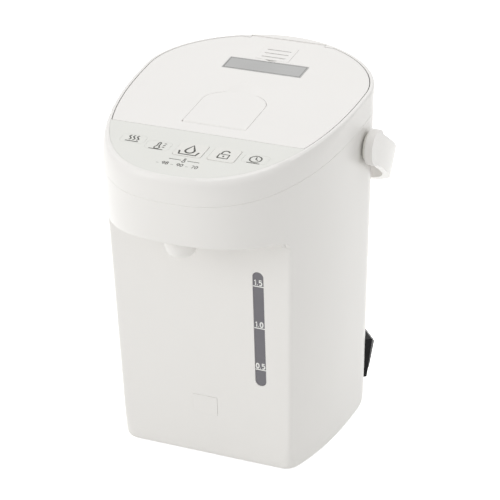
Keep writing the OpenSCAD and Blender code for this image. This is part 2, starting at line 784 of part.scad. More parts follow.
module delivery_hose() color("white") place() translate([gauge_x, 0, spout_z]) difference() {
    union() {
        translate([0, -hose_from, 0]) rotate([90, 0, 0])
            cylinder(r = hose_r, h = gauge_y - hose_bend - hose_from);
        translate([0, hose_bend - gauge_y, hose_bend]) rotate([0, 90, 180])
            rotate_extrude(angle = 90) translate([hose_bend, 0]) circle(r = hose_r);
        translate([0, -gauge_y, 0]) rod(hose_r, hose_bend, tube_low + 8 - spout_z);
    }
    translate([0, over - hose_from, 0]) rotate([90, 0, 0])
        cylinder(r = tube_r + run_gap, h = gauge_y - hose_bend - hose_from + over);
    translate([0, hose_bend - gauge_y, hose_bend]) rotate([0, 90, 180])
        rotate_extrude(angle = 90) translate([hose_bend, 0]) circle(r = tube_r + run_gap);
    translate([0, -gauge_y, 0]) rod(tube_r + run_gap, hose_bend, tube_low + 8 + over - spout_z);
}

valve_r = 10;
valve_low = tube_high - 4;
valve_seat = tube_high + 3;
valve_high = valve_low + 22;
valve_seat_r = 3.4;
valve_chamber_r = 6;
ball_r = 4.6;
ball_z = valve_seat + sqrt(ball_r * ball_r - valve_seat_r * valve_seat_r) + 0.05;
spout_level = valve_seat + 7;
spout_turn = atan2(gauge_y - nozzle_y, -gauge_x);
spout_run = sqrt(pow(gauge_x, 2) + pow(nozzle_y - gauge_y, 2));

// Puts children on the gauge's axis with x pointing at the nozzle
module towards_nozzle() place() translate(gauge_at) rotate([0, 0, spout_turn]) children();

// Closes the water way when the pot is tipped over: the ball then rolls onto a seat
module tilt_valve_body() color("whitesmoke") towards_nozzle() difference() {
    rod(valve_r, valve_low, valve_high);
    rod(tube_r + run_gap, valve_low - over, tube_high);
    rod(valve_seat_r, tube_high - over, valve_seat + over);
    rod(valve_chamber_r, valve_seat, valve_high - 3);
    translate([0, 0, spout_level]) rotate([0, 90, 0]) cylinder(r = pipe_bore, h = valve_r + over);
    translate([valve_r - 3, 0, spout_level]) rotate([0, 90, 0]) cylinder(r = pipe_r + run_gap, h = 3 + over);
}

module tilt_valve_ball() color("silver") place() translate(gauge_at) translate([0, 0, ball_z])
    sphere(r = ball_r);

module spout_pipe() color("white") towards_nozzle() difference() {
    union() {
        translate([valve_r - 3 + close_gap, 0, spout_level]) rotate([0, 90, 0])
            cylinder(r = pipe_r, h = spout_run - valve_r + 3 - close_gap);
        translate([spout_run, 0, spout_level]) sphere(r = pipe_r);
        translate([spout_run, 0, 0]) rod(pipe_r, spout_low, spout_level);
    }
    translate([valve_r - 4, 0, spout_level]) rotate([0, 90, 0])
        cylinder(r = pipe_bore, h = spout_run - valve_r + 4);
    translate([spout_run, 0, spout_level]) sphere(r = pipe_bore);
    translate([spout_run, 0, 0]) rod(pipe_bore, spout_low - over, spout_level);
}

// ---------- power board and inlet ----------

module power_board() color("darkgreen") place() translate(board_at)
    block(board_w, board_d, board_low, board_low + board_t);

module power_components() color("dimgray") place() translate(board_at + [0, 0, board_low + board_t]) {
    translate([-16, 8, 0]) block(18, 16, 0, 15);
    translate([8, 12, 0]) block(20, 12, 0, 12);
    translate([-18, -13, 0]) rod(6, 0, 17);
    translate([-3, -14, 0]) rod(4, 0, 14);
    translate([15, -10, 0]) block(16, 14, 0, 9);
}

inlet_in = 10;
inlet_edge = 3;
socket_h = 26;
socket_w = 22;
socket_depth = 9;
pin_r = 2;
pin_spots = [for (y = [-6, 0, 6]) [6, y, 0]];
magnet_t = 1.5;
socket_floor = inlet_proud - socket_depth;

function inlet_ring(less, z) = let(h = inlet_h / 2 - less, w = inlet_w / 2 - less)
    [[-h, -w, z], [h, -w, z], [h, w, z], [-h, w, z]];

module inlet_housing() color("dimgray") at_inlet() difference() {
    loft([inlet_ring(0, -inlet_in), inlet_ring(0, inlet_proud - inlet_edge),
        inlet_ring(inlet_edge, inlet_proud)]);
    translate([0, 0, socket_floor]) rounded_plate(socket_h, socket_w, 2, socket_depth + over);
    for (p = pin_spots) translate(p) rod(pin_r + run_gap, socket_floor - 5, socket_floor + over);
}

module inlet_pins() color("gold") at_inlet() for (p = pin_spots) translate(p)
    rod(pin_r, socket_floor - 5 + close_gap, inlet_proud - 2);

module inlet_magnet_plate() color("silver") at_inlet() translate([-7, 0, 0])
    block(8, 14, socket_floor, socket_floor + magnet_t);

// ---------- lid ----------

lid_front = -panel_line + lid_gap;
lip_out = 1.2;
lid_in = rim_w + lid_gap;
skirt_low = -lid_skirt;
under_low = -lid_skirt - underside_t;
duct_y = vent_y - 5;
duct_r = 8;
vent_box = 4.2;
pocket_wall = 1.6;
lever_axis = [0, -lever_pin_y, -lever_barrel_r];
bolt_half_w = 7;
bolt_top = -pocket_depth - 1 - close_gap;
crank_half_w = 3.5;
crank_r = 1.1;
crank_end = bolt_top - 1.6;

// The outline of the lever from its barrel's front to its round rear end
function lever_plan(grow) = concat(
    [[lever_half_w + grow, -lever_pin_y - lever_barrel_r - grow]],
    [for (t = [0 : 7.5 : 180]) [(lever_half_w + grow) * cos(t), -lever_side + (lever_bow + grow) * sin(t)]],
    [[-lever_half_w - grow, -lever_pin_y - lever_barrel_r - grow]]);

module lever_slab(grow, low, high) translate([0, 0, low]) linear_extrude(high - low)
    polygon(lever_plan(grow));

module lid_top() color("ivory") on_top() difference() {
    union() {
        difference() {
            union() {
                top_slab(lid_in, lid_front, lid_back, -lid_lip, 0);
                top_slab(lid_in + lip_out, lid_front + lip_out, lid_back - lip_out, skirt_low, -lid_lip / 2);
            }
            top_slab(lid_in + lip_out + lid_t, lid_front + lip_out + lid_t, lid_back - lip_out - lid_t,
                skirt_low - over, -lid_t);
        }
        // hinge barrel with its root, the lever's pocket and the vent's box
        translate(hinge_at) cross_rod(hinge_depth, 2 * hinge_half_w);
        translate([0, hinge_at[1] - 4, 0]) block(2 * hinge_half_w, 8, -2 * hinge_depth, 0);
        lever_slab(lever_gap + pocket_wall, -pocket_depth - 1, -over);
        translate([0, vent_y, 0]) block(vent_w + 2, vent_d + 2, -vent_box - 1.6, -over);
    }
    translate(hinge_at) cross_rod(hinge_pin_r + run_gap, 4 * hinge_half_w);
    lever_slab(lever_gap, -pocket_depth, over);
    translate(lever_axis)
        cross_rod(lever_pin_r + run_gap, 2 * (lever_half_w + lever_gap + pocket_wall) + over);
    translate([0, 2.3 - lever_pin_y, 0]) block(2 * (crank_half_w + 0.4), 7.4, -pocket_depth - 2, 0);
    // finger dish behind the lever
    translate([0, lever_bow - lever_side + 3, 80 - 1.4]) sphere(r = 80, $fn = 96);
    // slot of the bolt
    translate([0, lid_front + lip_out, 0])
        block(2 * (bolt_half_w + close_gap), 3 * lid_t, skirt_low - over, bolt_top + close_gap);
    // seats of the foil plate and of the vent's cap, and the vent's way down to its duct
    translate([0, foil_y, 0]) block(foil_w + 0.2, foil_d + 0.2, -0.3, over);
    translate([0, vent_y, 0]) {
        block(vent_w + 0.2, vent_d + 0.2, -1.4, over);
        block(vent_w - 3, vent_d - 3, -vent_box, over);
    }
    upright() translate([0, duct_y, 0]) rod(duct_r + close_gap, 0, 2 * pot_h);
}

// The plate under the lid, its hollow plug and the bolt's guides
module lid_underside() color("whitesmoke") difference() {
    union() {
        on_top() {
            top_slab(lid_in + lip_out, lid_front + lip_out, lid_back - lip_out, under_low, skirt_low);
            for (x = [-1, 1]) translate([x * (bolt_half_w + close_gap + 0.8), lid_front + 17, 0])
                block(1.6, 22, skirt_low - close_gap, -11.5);
        }
        place() intersection() {
            rod(plug_r, plug_low, pot_h);
            rotate([top_slope, 0, 0])
                block(2 * body_w, 2 * body_front, 0, pot_h * cos(top_slope) + under_low + 1);
        }
    }
    place() {
        rod(plug_r - wall, plug_low + wall, pot_h + over);
        translate([0, duct_y, 0]) rod(duct_r - 2, plug_low - over, pot_h);
    }
}

// Seals the lid's plate on the floor of the well, round the mouth
lid_seal_out = 5.5;
lid_seal_in = 1;
module lid_seal() color("gray") on_top() translate([0, under_low * tan_slope, 0])
    tube(mouth_r + lid_seal_out, mouth_r + lid_seal_in, 0.3 - well_depth, under_low);

module lid_hinge_pin() color("silver") on_top() translate(hinge_at)
    cross_rod(hinge_pin_r, 2 * (hinge_half_w + ear_w));

module steam_duct() color("whitesmoke") difference() {
    place() translate([0, duct_y, 0]) tube(duct_r, duct_r - 2, plug_low + wall, 2 * pot_h);
    on_top() block(4 * body_w, 4 * body_w, -vent_box - 0.4, 2 * pot_h);
}

module steam_vent_cap() color("ivory") on_top() translate([0, vent_y, 0]) difference() {
    block(vent_w, vent_d, -1.4, 0.15);
    for (y = [-6, 0, 6]) translate([0, y - 0.5, 0]) block(20, 1.2, -2, over);
}

module foil_plate() color("silver") on_top() translate([0, foil_y, 0]) block(foil_w, foil_d, -0.3, 0.1);

// ---------- lid lever and latch ----------

spring_coil_r = 1.35;
spring_wire_r = 0.28;
spring_turns = 5;
spring_pitch = 0.75;
spring_x = 8.5;
spring_room = 5;

module lid_lever() color("ivory") on_top() difference() {
    union() {
        intersection() {
            lever_slab(0, -lever_t, 0);
            translate([0, body_w / 2 - lever_pin_y, 0]) block(body_w, body_w, -lever_t - over, over);
        }
        translate(lever_axis) cross_rod(lever_barrel_r, 2 * lever_half_w);
        translate([0, -lever_pin_y, 0]) block(2 * crank_half_w, 1.8, crank_end, -lever_barrel_r);
        translate([0, -lever_pin_y, crank_end]) cross_rod(crank_r, 2 * crank_half_w);
    }
    translate(lever_axis) cross_rod(lever_pin_r + run_gap, 3 * lever_half_w);
    for (x = [-1, 1]) translate([x * (spring_x + spring_room / 2 - 0.5), -lever_pin_y, 0])
        block(spring_room, 2 * lever_barrel_r + 0.2, -2 * lever_barrel_r - over, -1);
}

module lever_pin() color("silver") on_top() translate(lever_axis)
    cross_rod(lever_pin_r, 2 * (lever_half_w + lever_gap + pocket_wall) - 0.4);

function spring_ring(turn, x) = [for (b = [0 : 60 : 300])
    let(reach = spring_coil_r + spring_wire_r * cos(b))
    [x + spring_pitch * turn / 360 - spring_wire_r * sin(b), reach * cos(turn), reach * sin(turn)]];

// A round wire between two points of the plane across the pin
module spring_leg(x, from, to) translate([x, from[0], from[1]])
    rotate([-atan2(to[0] - from[0], to[1] - from[1]), 0, 0]) cylinder(r = spring_wire_r, h = norm(to - from));

// Two torsion springs round the lever's pin, with legs under the lever and on the pocket's floor
module lever_springs() color("silver") on_top() translate(lever_axis)
    for (x = [spring_x, -spring_x - spring_turns * spring_pitch]) {
        loft([for (turn = [0 : 30 : 360 * spring_turns]) spring_ring(turn + 90, x - spring_pitch / 4)]);
        spring_leg(x, [0, spring_coil_r], [8, -0.7]);
        spring_leg(x + spring_turns * spring_pitch, [0, spring_coil_r], [8, -0.7]);
    }

module latch_bolt() color("whitesmoke") on_top() difference() {
    bolt_front = lid_front + 0.2;
    bolt_rear = 16 - lever_pin_y;
    translate([0, (bolt_front + bolt_rear) / 2, 0])
        block(2 * bolt_half_w, bolt_rear - bolt_front, skirt_low + close_gap, bolt_top);
    translate([0, -lever_pin_y, 0]) block(2 * crank_half_w + 0.6, 2 * crank_r + 0.7, skirt_low - over, 0);
}

// ---------- handle ----------

// One side of the handle's curve in its own plane, from the left end over the grip to the right end
function handle_curve(more) = [for (t = [0 : 5 : 180])
    let(p = 2 / handle_square)
    [(arm_half_gap + more) * power(cos(t), p), (handle_reach + more) * power(sin(t), p)]];

module handle_band() linear_extrude(band_w, center = true) polygon(concat(
    handle_curve(band_t), [for (i = [36 : -1 : 0]) handle_curve(0)[i]]));

// Puts children in the stowed handle's own plane, with its pivots on the x axis
module on_pivots(droop) place() translate([0, 0, pivot_z]) rotate([-droop, 0, 0]) children();

module handle_bail() color("ivory") on_pivots(handle_droop) difference() {
    union() {
        handle_band();
        for (x = [-1, 1]) translate([x * (arm_half_gap + band_t / 2), 0, 0]) cross_rod(boss_r, band_t);
    }
    for (x = [-1, 1]) translate([x * arm_half_gap, 0, 0]) cross_rod(pivot_r + run_gap, 2 * (band_t - 1.4));
}

// Pins with a collar outside the casing's wall and a washer inside it
washer_r = 9;
washer_t = 2.2;
collar_r = 11;
module handle_pivots() color("dimgray") on_pivots(0) for (side = [0, 180])
    rotate([0, 0, side]) rotate([0, 90, 0]) {
        outside = half_w + fit_gap;
        inside = half_w - lean_at(pivot_z) - wall - 0.85;
        rod(collar_r, outside, arm_half_gap - 0.2);
        rod(pivot_hole_r - close_gap, inside - over, outside + over);
        rod(washer_r, inside - washer_t, inside);
        rod(pivot_r, outside, arm_half_gap + band_t - 1.6);
    }

outer_casing();
top_frame();
hood_floor();
nozzle();
base_plate();
feet();
base_screws();
control_panel();
dispense_key();
unlock_key();
reboil_key();
keep_warm_key();
timer_key();
control_board();
key_switches();
indicator_lamps();
gauge_window();
gauge_tube();
gauge_backing();
badge_tile();
inner_vessel();
vessel_seal();
insulation_sleeve();
heater_plate();
heater_clamp();
thermistor();
thermal_fuse();
suction_sleeve();
pump_cover();
pump_gasket();
pump_housing();
impeller();
pump_shaft();
pump_motor();
delivery_hose();
tilt_valve_body();
tilt_valve_ball();
spout_pipe();
power_board();
power_components();
inlet_housing();
inlet_pins();
inlet_magnet_plate();
lid_top();
lid_underside();
lid_seal();
lid_hinge_pin();
steam_duct();
steam_vent_cap();
foil_plate();
lid_lever();
lever_pin();
lever_springs();
latch_bolt();
handle_bail();
handle_pivots();
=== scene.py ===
"""Looks of an electric thermo pot: casing, key panel, hinged lid, handle, gauge and inlet."""

import json
import logging
from dataclasses import dataclass
from enum import Enum
from functools import cache
from math import asin, copysign, cos, dist, hypot, pi, radians, sin, sqrt, tan
from typing import Any, Iterable, Sequence

import bmesh
import bpy
from bmesh import ops
from bmesh.types import BMEdge, BMesh, BMVert
from bpy.types import Material, Mesh, Node, NodeSocket, NodeTree, Object
from mathutils import Matrix, Vector

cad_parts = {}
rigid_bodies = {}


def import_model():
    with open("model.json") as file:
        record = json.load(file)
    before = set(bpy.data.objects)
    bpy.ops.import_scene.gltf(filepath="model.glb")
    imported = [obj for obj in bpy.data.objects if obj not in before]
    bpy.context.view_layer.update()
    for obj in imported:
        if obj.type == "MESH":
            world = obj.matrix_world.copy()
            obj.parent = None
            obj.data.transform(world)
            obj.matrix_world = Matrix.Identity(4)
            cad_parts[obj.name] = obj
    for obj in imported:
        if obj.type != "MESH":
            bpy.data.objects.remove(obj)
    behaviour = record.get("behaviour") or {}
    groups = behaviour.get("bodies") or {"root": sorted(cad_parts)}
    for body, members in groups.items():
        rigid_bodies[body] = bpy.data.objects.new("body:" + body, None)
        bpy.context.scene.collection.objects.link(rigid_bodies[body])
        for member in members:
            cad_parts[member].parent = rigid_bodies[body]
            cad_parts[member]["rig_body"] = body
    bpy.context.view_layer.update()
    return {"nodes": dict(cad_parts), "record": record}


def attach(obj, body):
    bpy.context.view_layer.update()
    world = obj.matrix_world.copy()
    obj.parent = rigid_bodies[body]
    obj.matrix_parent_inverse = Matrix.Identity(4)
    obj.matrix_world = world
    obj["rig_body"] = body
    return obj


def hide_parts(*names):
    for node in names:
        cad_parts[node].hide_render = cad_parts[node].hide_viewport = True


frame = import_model()

LOG = logging.getLogger("thermo_pot")
MM = 0.001
Point = tuple[float, float]
Spot = tuple[float, float, float]
Strokes = list[list[Point]]

# Edges that turn more than this, in degrees, are edges of the real piece.
SHARP_DEG = 32.0
# Distances in mm under which two points are one: of a CAD node's loose triangles, of printed
# lines, and of the casing's rings.
SAME_POINT = 0.004
INK_POINT = 0.0005
RING_POINT = 0.02
# Faces that turn less than this, in degrees, belong to one flat of a CAD node.
FLAT_DEG = 0.6
# Height of a printed line over its width.
INK_FLATNESS = 0.2
# Values between which a noise mostly lies, and the size of its slow patches, 1 / 45 mm.
NOISE_RANGE = (0.3, 0.7)
PATCH_SCALE = 22.0


class Pattern(Enum):
    """How the fine structure of a finish runs over the surface."""

    GRAIN = "grain"
    FIBRE = "fibre"
    TRACES = "traces"


def linear(hex_colour: str) -> tuple[float, float, float, float]:
    """Turns an sRGB hex colour into the linear colour that shaders use.

    Args:
        hex_colour: Six hex digits with a leading #.

    Returns:
        Linear red, green, blue and an alpha of 1.
    """
    parts = [int(hex_colour[i : i + 2], 16) / 255 for i in (1, 3, 5)]
    red, green, blue = [
        c / 12.92 if c <= 0.04045 else ((c + 0.055) / 1.055) ** 2.4 for c in parts
    ]
    return red, green, blue, 1.0


def add_node(
    tree: NodeTree,
    kind: str,
    settings: dict[str, Any] | None = None,
    links: dict[str | int, NodeSocket] | None = None,
) -> Node:
    """Adds a shader node with its settings and incoming links.

    Args:
        tree: Node tree that gets the node.
        kind: Node type name after its leading ShaderNode.
        settings: Values by input name, or by attribute name where no input has it.
        links: Sockets by the name or number of the input that they feed.

    Returns:
        The new node.
    """
    node = tree.nodes.new(f"ShaderNode{kind}")
    for key, value in (settings or {}).items():
        if key in node.inputs:
            node.inputs[key].default_value = value
        else:
            setattr(node, key, value)
    for key, socket in (links or {}).items():
        tree.links.new(socket, node.inputs[key])
    return node


def cleared_tree(owner: Any) -> NodeTree:
    """Gives a material or the world an empty node tree."""
    owner.use_nodes = True
    owner.node_tree.nodes.clear()
    return owner.node_tree


@dataclass(frozen=True)
class Finish:
    """One real material and the way its surface was made.

    grain_mm is the size of the surface's fine structure and grain_depth its bump height in mm,
    stretch lengthens the pattern along an axis, and spread is how far the roughness wanders.
    """

    name: str
    colour: str
    shade: str
    roughness: float
    grain_mm: float
    grain_depth: float
    spread: float = 0.05
    metallic: float = 0.0
    ior: float = 1.5
    transmission: float = 0.0
    sheen: float = 0.0
    specular: float = 0.5
    stretch: Spot = (1.0, 1.0, 1.0)
    pattern: Pattern = Pattern.GRAIN

    def structure(self, tree: NodeTree) -> tuple[NodeSocket, NodeSocket]:
        """Adds the pattern's nodes.

        Args:
            tree: Node tree of the material.

        Returns:
            A slow variation over the piece and the fine structure, both from 0 to 1.
        """
        place = add_node(tree, "TexCoord").outputs["Object"]
        turned = add_node(tree, "Mapping", {"Scale": self.stretch}, {"Vector": place})
        slow = add_node(
            tree, "TexNoise", {"Scale": PATCH_SCALE, "Detail": 2.0}, {"Vector": place}
        )
        scale = 1 / (self.grain_mm * MM)
        dark = (0, 0, 0, 1)
        # a wave's bands are a third of its unit wide, and a brick's rows a quarter
        kind, output, settings = {
            Pattern.GRAIN: ("TexNoise", "Fac", {"Scale": scale, "Detail": 3.0, "Roughness": 0.55}),
            Pattern.FIBRE: (
                "TexWave", "Fac",
                {"Scale": scale / 6, "Distortion": 18.0, "Detail": 4.0, "Detail Scale": 2.5},
            ),
            Pattern.TRACES: (
                "TexBrick", "Color",
                {"Scale": scale / 4, "Mortar Size": 0.06, "Color1": dark, "Color2": dark,
                 "Mortar": (1, 1, 1, 1)},
            ),
        }[self.pattern]
        fine = add_node(tree, kind, settings, {"Vector": turned.outputs["Vector"]})
        return slow.outputs["Fac"], fine.outputs[output]

    @cache
    def material(self) -> Material:
        """Builds the material once and hands out the same one after that.

        Returns:
            The node material of this finish.
        """
        made = bpy.data.materials.new(self.name)
        tree = cleared_tree(made)
        slow, fine = self.structure(tree)
        tint_from = slow if self.pattern is Pattern.GRAIN else fine
        ramp = add_node(tree, "ValToRGB", links={"Fac": tint_from})
        stops = zip(ramp.color_ramp.elements, NOISE_RANGE, (self.colour, self.shade))
        for stop, value, colour in stops:
            stop.position = value
            stop.color = linear(colour)
        rough = add_node(
            tree, "MapRange",
            {"From Min": NOISE_RANGE[0], "From Max": NOISE_RANGE[1],
             "To Min": self.roughness - self.spread, "To Max": self.roughness + self.spread},
            {"Value": fine},
        )
        bump = add_node(
            tree, "Bump", {"Strength": 1.0, "Distance": self.grain_depth * MM}, {"Height": fine}
        )
        shader = add_node(
            tree, "BsdfPrincipled",
            {"Metallic": self.metallic, "IOR": self.ior, "Sheen Weight": self.sheen,
             "Transmission Weight": self.transmission, "Specular IOR Level": self.specular},
            {"Base Color": ramp.outputs["Color"], "Roughness": rough.outputs["Result"],
             "Normal": bump.outputs["Normal"]},
        )
        add_node(tree, "OutputMaterial", links={"Surface": shader.outputs["BSDF"]})
        return made


# Moulded and printed surfaces really have grains of 0.02 to 0.1 mm. Theirs are drawn coarser
# here, since a pixel covers about 0.6 mm of the pot.
SLOT_FINISHES: dict[str, Finish] = {
    # Moulded ABS, gloss tool: a calm warm white with soft reflections. The slight waviness of
    # the moulded wall stands for its texture.
    "gloss_ivory": Finish(
        "moulded_abs_gloss", "#F3F1EE", "#F2F0ED", 0.32, 9.0, 0.0015, spread=0.015, ior=1.52
    ),
    # Moulded ABS, fine eroded tool: the raised keys scatter light more than the shell.
    "key_white": Finish("moulded_abs_satin", "#ECEBE6", "#EAE9E4", 0.45, 1.0, 0.004, ior=1.52),
    # Polycarbonate film, back printed: flatter and greener than the shell round it.
    "panel_film": Finish(
        "printed_pc_film", "#E9E9E4", "#E7E7E2", 0.42, 1.2, 0.002, spread=0.03, ior=1.58
    ),
    # Glass filled PBT, eroded tool: deep black with broken highlights.
    "black_plastic": Finish(
        "moulded_pbt_black", "#08080B", "#0B0B0F", 0.26, 0.9, 0.006, ior=1.57, specular=0.11
    ),
    # Moulded POM: dense dark grey with a waxy gloss.
    "grey_plastic": Finish("moulded_pom_grey", "#55555A", "#4E4E52", 0.4, 1.5, 0.008, ior=1.48),
    # Moulded PP, heat resistant: milky white, softer in its highlights than ABS.
    "moulded_white": Finish("moulded_pp_natural", "#E9E8E2", "#E4E3DC", 0.38, 3.0, 0.01, ior=1.49),
    # Silicone rubber, moulded: dull and slightly grey.
    "silicone": Finish("moulded_silicone", "#DAD8D0", "#D2D0C8", 0.55, 1.5, 0.01, ior=1.41),
    # Thermoplastic rubber, moulded: dead matt grey.
    "foot_rubber": Finish("moulded_tpe_rubber", "#D6D4CF", "#CFCDC8", 0.7, 0.8, 0.02),
    # Stainless steel, drawn and satin brushed round: rings of fine lines break the highlight.
    "stainless": Finish(
        "brushed_stainless_steel", "#D2D0CC", "#C6C4C0", 0.3, 2.0, 0.006, spread=0.08,
        metallic=1.0, stretch=(0.05, 0.05, 1.6),
    ),
    # Aluminium, rolled sheet: pale and bright with long fine rolling lines.
    "aluminium_plate": Finish(
        "rolled_aluminium_sheet", "#B9B9B8", "#B2B2B1", 0.38, 1.4, 0.004, spread=0.06,
        metallic=1.0, stretch=(0.06, 1.0, 1.0),
    ),
    # Needled felt: tangled fibres about 2 mm long.
    "felt": Finish(
        "needled_felt", "#D8CDB8", "#B9AD97", 0.9, 2.0, 0.25, sheen=0.4, pattern=Pattern.FIBRE
    ),
    # Steatite ceramic, unglazed: chalky white.
    "ceramic": Finish("unglazed_ceramic", "#EDE9DF", "#E3DED2", 0.6, 0.6, 0.01, ior=1.6),
    # Glass fibre board with solder mask: green with lighter copper traces under it.
    "board_green": Finish(
        "solder_masked_board", "#14512F", "#2C7A4C", 0.32, 2.4, 0.02, ior=1.55,
        pattern=Pattern.TRACES,
    ),
    # Moulded nylon, black: bodies of the tactile switches.
    "switch_black": Finish("moulded_nylon_black", "#1A1A1A", "#222222", 0.45, 0.8, 0.01),
    # Cast epoxy: the green bodies of the lamps.
    "lamp_green": Finish(
        "cast_epoxy_green", "#6FB877", "#63AC6C", 0.18, 2.0, 0.002, transmission=0.35, ior=1.55
    ),
    # Extruded polycarbonate tube, clear: bright edges and a calm inside.
    "clear_tube": Finish(
        "extruded_pc_clear", "#E8EEEE", "#E2EAEA", 0.06, 6.0, 0.001, spread=0.02,
        transmission=0.92, ior=1.58,
    ),
    # Smoked acrylic, polished: the grey window of the gauge, darker than what is behind it.
    "smoked_window": Finish(
        "polished_smoked_acrylic", "#77757B", "#706E75", 0.14, 9.0, 0.002, spread=0.03,
        transmission=0.12, ior=1.49,
    ),
}
# Screen printing ink, flat and matt: on keys, film and plate, on the lamp row, and on the window.
GREY_INK = Finish("screen_ink_grey", "#55554F", "#4F4F4A", 0.6, 0.5, 0.001)
PALE_INK = Finish("screen_ink_pale", "#BFC0BA", "#B8B9B3", 0.6, 0.5, 0.001)
WHITE_INK = Finish("screen_ink_white", "#F4F4F1", "#EFEFEC", 0.55, 0.5, 0.001)

NODE_SLOTS = {row["node"]: row["material_slot"] for row in frame["record"]["subparts"]}


def placed(name: str, data: Any) -> Object:
    """Adds an object to the scene."""
    made = bpy.data.objects.new(name, data)
    bpy.context.scene.collection.objects.link(made)
    return made


def evaluated(piece: Object) -> Mesh:
    """Makes a mesh of an object as its modifiers or its curve leave it."""
    graph = bpy.context.evaluated_depsgraph_get()
    return bpy.data.meshes.new_from_object(piece.evaluated_get(graph))


def moved(x: float, y: float, z: float) -> Matrix:
    """A move in mm."""
    return Matrix.Translation((x * MM, y * MM, z * MM))


def shown(
    mesh: Mesh, body: str, slot: str, ink: Finish | None = None, stands_for: Sequence[str] = ()
) -> Object:
    """Puts a finished mesh in the scene as one piece of the pot.

    Args:
        mesh: Mesh in its place, in metres, with the piece's name.
        body: Body that the piece rides on.
        slot: Material slot of the record.
        ink: Finish of a print, which has no slot of its own.
        stands_for: CAD nodes that the piece is shown in place of.

    Returns:
        The new object.
    """
    piece = placed(mesh.name, mesh)
    mesh.materials.clear()
    mesh.materials.append((ink or SLOT_FINISHES[slot]).material())
    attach(piece, body)
    if stands_for:
        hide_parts(*stands_for)
    LOG.info("%s: %d faces, rides on %s", piece.name, len(mesh.polygons), body)
    return piece


def to_mesh(shape: BMesh, name: str) -> Mesh:
    """Turns a bmesh into a mesh with smooth faces and sharp edges.

    Args:
        shape: The bmesh, which is freed.
        name: Name of the mesh.

    Returns:
        The mesh.
    """
    mesh = bpy.data.meshes.new(name)
    for face in shape.faces:
        face.smooth = True
    shape.to_mesh(mesh)
    shape.free()
    mesh.set_sharp_from_angle(angle=radians(SHARP_DEG))
    return mesh


def soften(piece: Object, width_mm: float, segments: int = 2, held: bool = False) -> None:
    """Rounds the sharp edges of a piece, as a mould does, and evens its shading.

    Args:
        piece: The object.
        width_mm: Width of the rounding.
        segments: Faces across the rounding.
        held: Keeps the rounding within what narrow faces have room for.
    """
    bevel = piece.modifiers.new("mould_radius", "BEVEL")
    bevel.width = width_mm * MM
    bevel.segments = segments
    bevel.limit_method = "ANGLE"
    bevel.angle_limit = radians(SHARP_DEG)
    bevel.use_clamp_overlap = held
    bevel.miter_outer = "MITER_ARC"
    weighted = piece.modifiers.new("even_shading", "WEIGHTED_NORMAL")
    weighted.keep_sharp = False


def refined_node(node: str, name: str, *rounding: Any) -> Object:
    """Shows a CAD node as a merged copy with rounded edges.

    Args:
        node: Name of the CAD node.
        name: Name of the piece.
        rounding: Width of the rounding in mm and the further settings of soften.

    Returns:
        The piece, which rides on the node's body and keeps its slot.
    """
    source = frame["nodes"][node]
    shape = bmesh.new()
    shape.from_mesh(source.data)
    ops.remove_doubles(shape, verts=shape.verts, dist=SAME_POINT * MM)
    ops.dissolve_limit(
        shape, angle_limit=radians(FLAT_DEG), verts=shape.verts, edges=shape.edges,
        use_dissolve_boundaries=False,
    )
    mesh = to_mesh(shape, name)
    piece = shown(mesh, source["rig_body"], NODE_SLOTS[node], stands_for=(node,))
    soften(piece, *rounding)
    return piece


def carve(piece: Object, cutter_shape: BMesh) -> None:
    """Cuts a shape out of a piece and keeps the result as its mesh.

    Args:
        piece: The object to cut.
        cutter_shape: Closed bmesh of what is taken away, which is freed.
    """
    cutter_mesh = bpy.data.meshes.new("cutter")
    cutter_shape.to_mesh(cutter_mesh)
    cutter_shape.free()
    cutter = placed("cutter", cutter_mesh)
    cut = piece.modifiers.new("openings", "BOOLEAN")
    cut.operation = "DIFFERENCE"
    cut.solver = "EXACT"
    cut.object = cutter
    carved = evaluated(piece)
    piece.modifiers.clear()
    piece.data = carved
    bpy.data.objects.remove(cutter)
    carved.set_sharp_from_angle(angle=radians(SHARP_DEG))


def printed_strokes(name: str, strokes: Strokes, width_mm: float, place: Matrix) -> Mesh:
    """Makes printed lines, flat on the surface under them.

    Args:
        name: Name of the mesh.
        strokes: Lines as points in mm, in the surface's own plane.
        width_mm: Width of the lines.
        place: Place of the surface's plane, in metres.

    Returns:
        The mesh in its place.
    """
    curve = bpy.data.curves.new(name, "CURVE")
    curve.dimensions = "3D"
    curve.bevel_depth = width_mm / 2 * MM
    curve.bevel_resolution = 1
    curve.use_fill_caps = True
    for points in strokes:
        line = curve.splines.new("POLY")
        line.points.add(len(points) - 1)
        for spot, (x, y) in zip(line.points, points):
            spot.co = (x * MM, y * MM, 0, 1)
    carrier = placed(name, curve)
    mesh = evaluated(carrier)
    bpy.data.objects.remove(carrier)
    bpy.data.curves.remove(curve)
    mesh.transform(place @ Matrix.Diagonal((1, 1, INK_FLATNESS, 1)))
    return mesh


def printed_figures(
    rows: Iterable[tuple[str, Point]], height_mm: float, width_mm: float, place: Matrix
) -> list[Mesh]:
    """Prints figures as lines of a round pen.

    Args:
        rows: Digits and points, each with their middle in the surface's own plane, in mm.
        height_mm: Height of the digits.
        width_mm: Width of the pen.
        place: Place of the surface's plane, in metres.

    Returns:
        One mesh for each row.
    """
    meshes = []
    for text, (middle_x, middle_y) in rows:
        advance = [ADVANCE.get(sign, USUAL_ADVANCE) for sign in text]
        cursor = -sum(advance) / 2
        strokes: Strokes = []
        for sign, step in zip(text, advance):
            middle = cursor + step / 2
            strokes += [
                [(middle_x + (middle + x) * height_mm, middle_y + y * height_mm) for x, y in line]
                for line in DIGITS[sign]
            ]
            cursor += step
        meshes.append(printed_strokes("figures", strokes, width_mm, place))
    return meshes


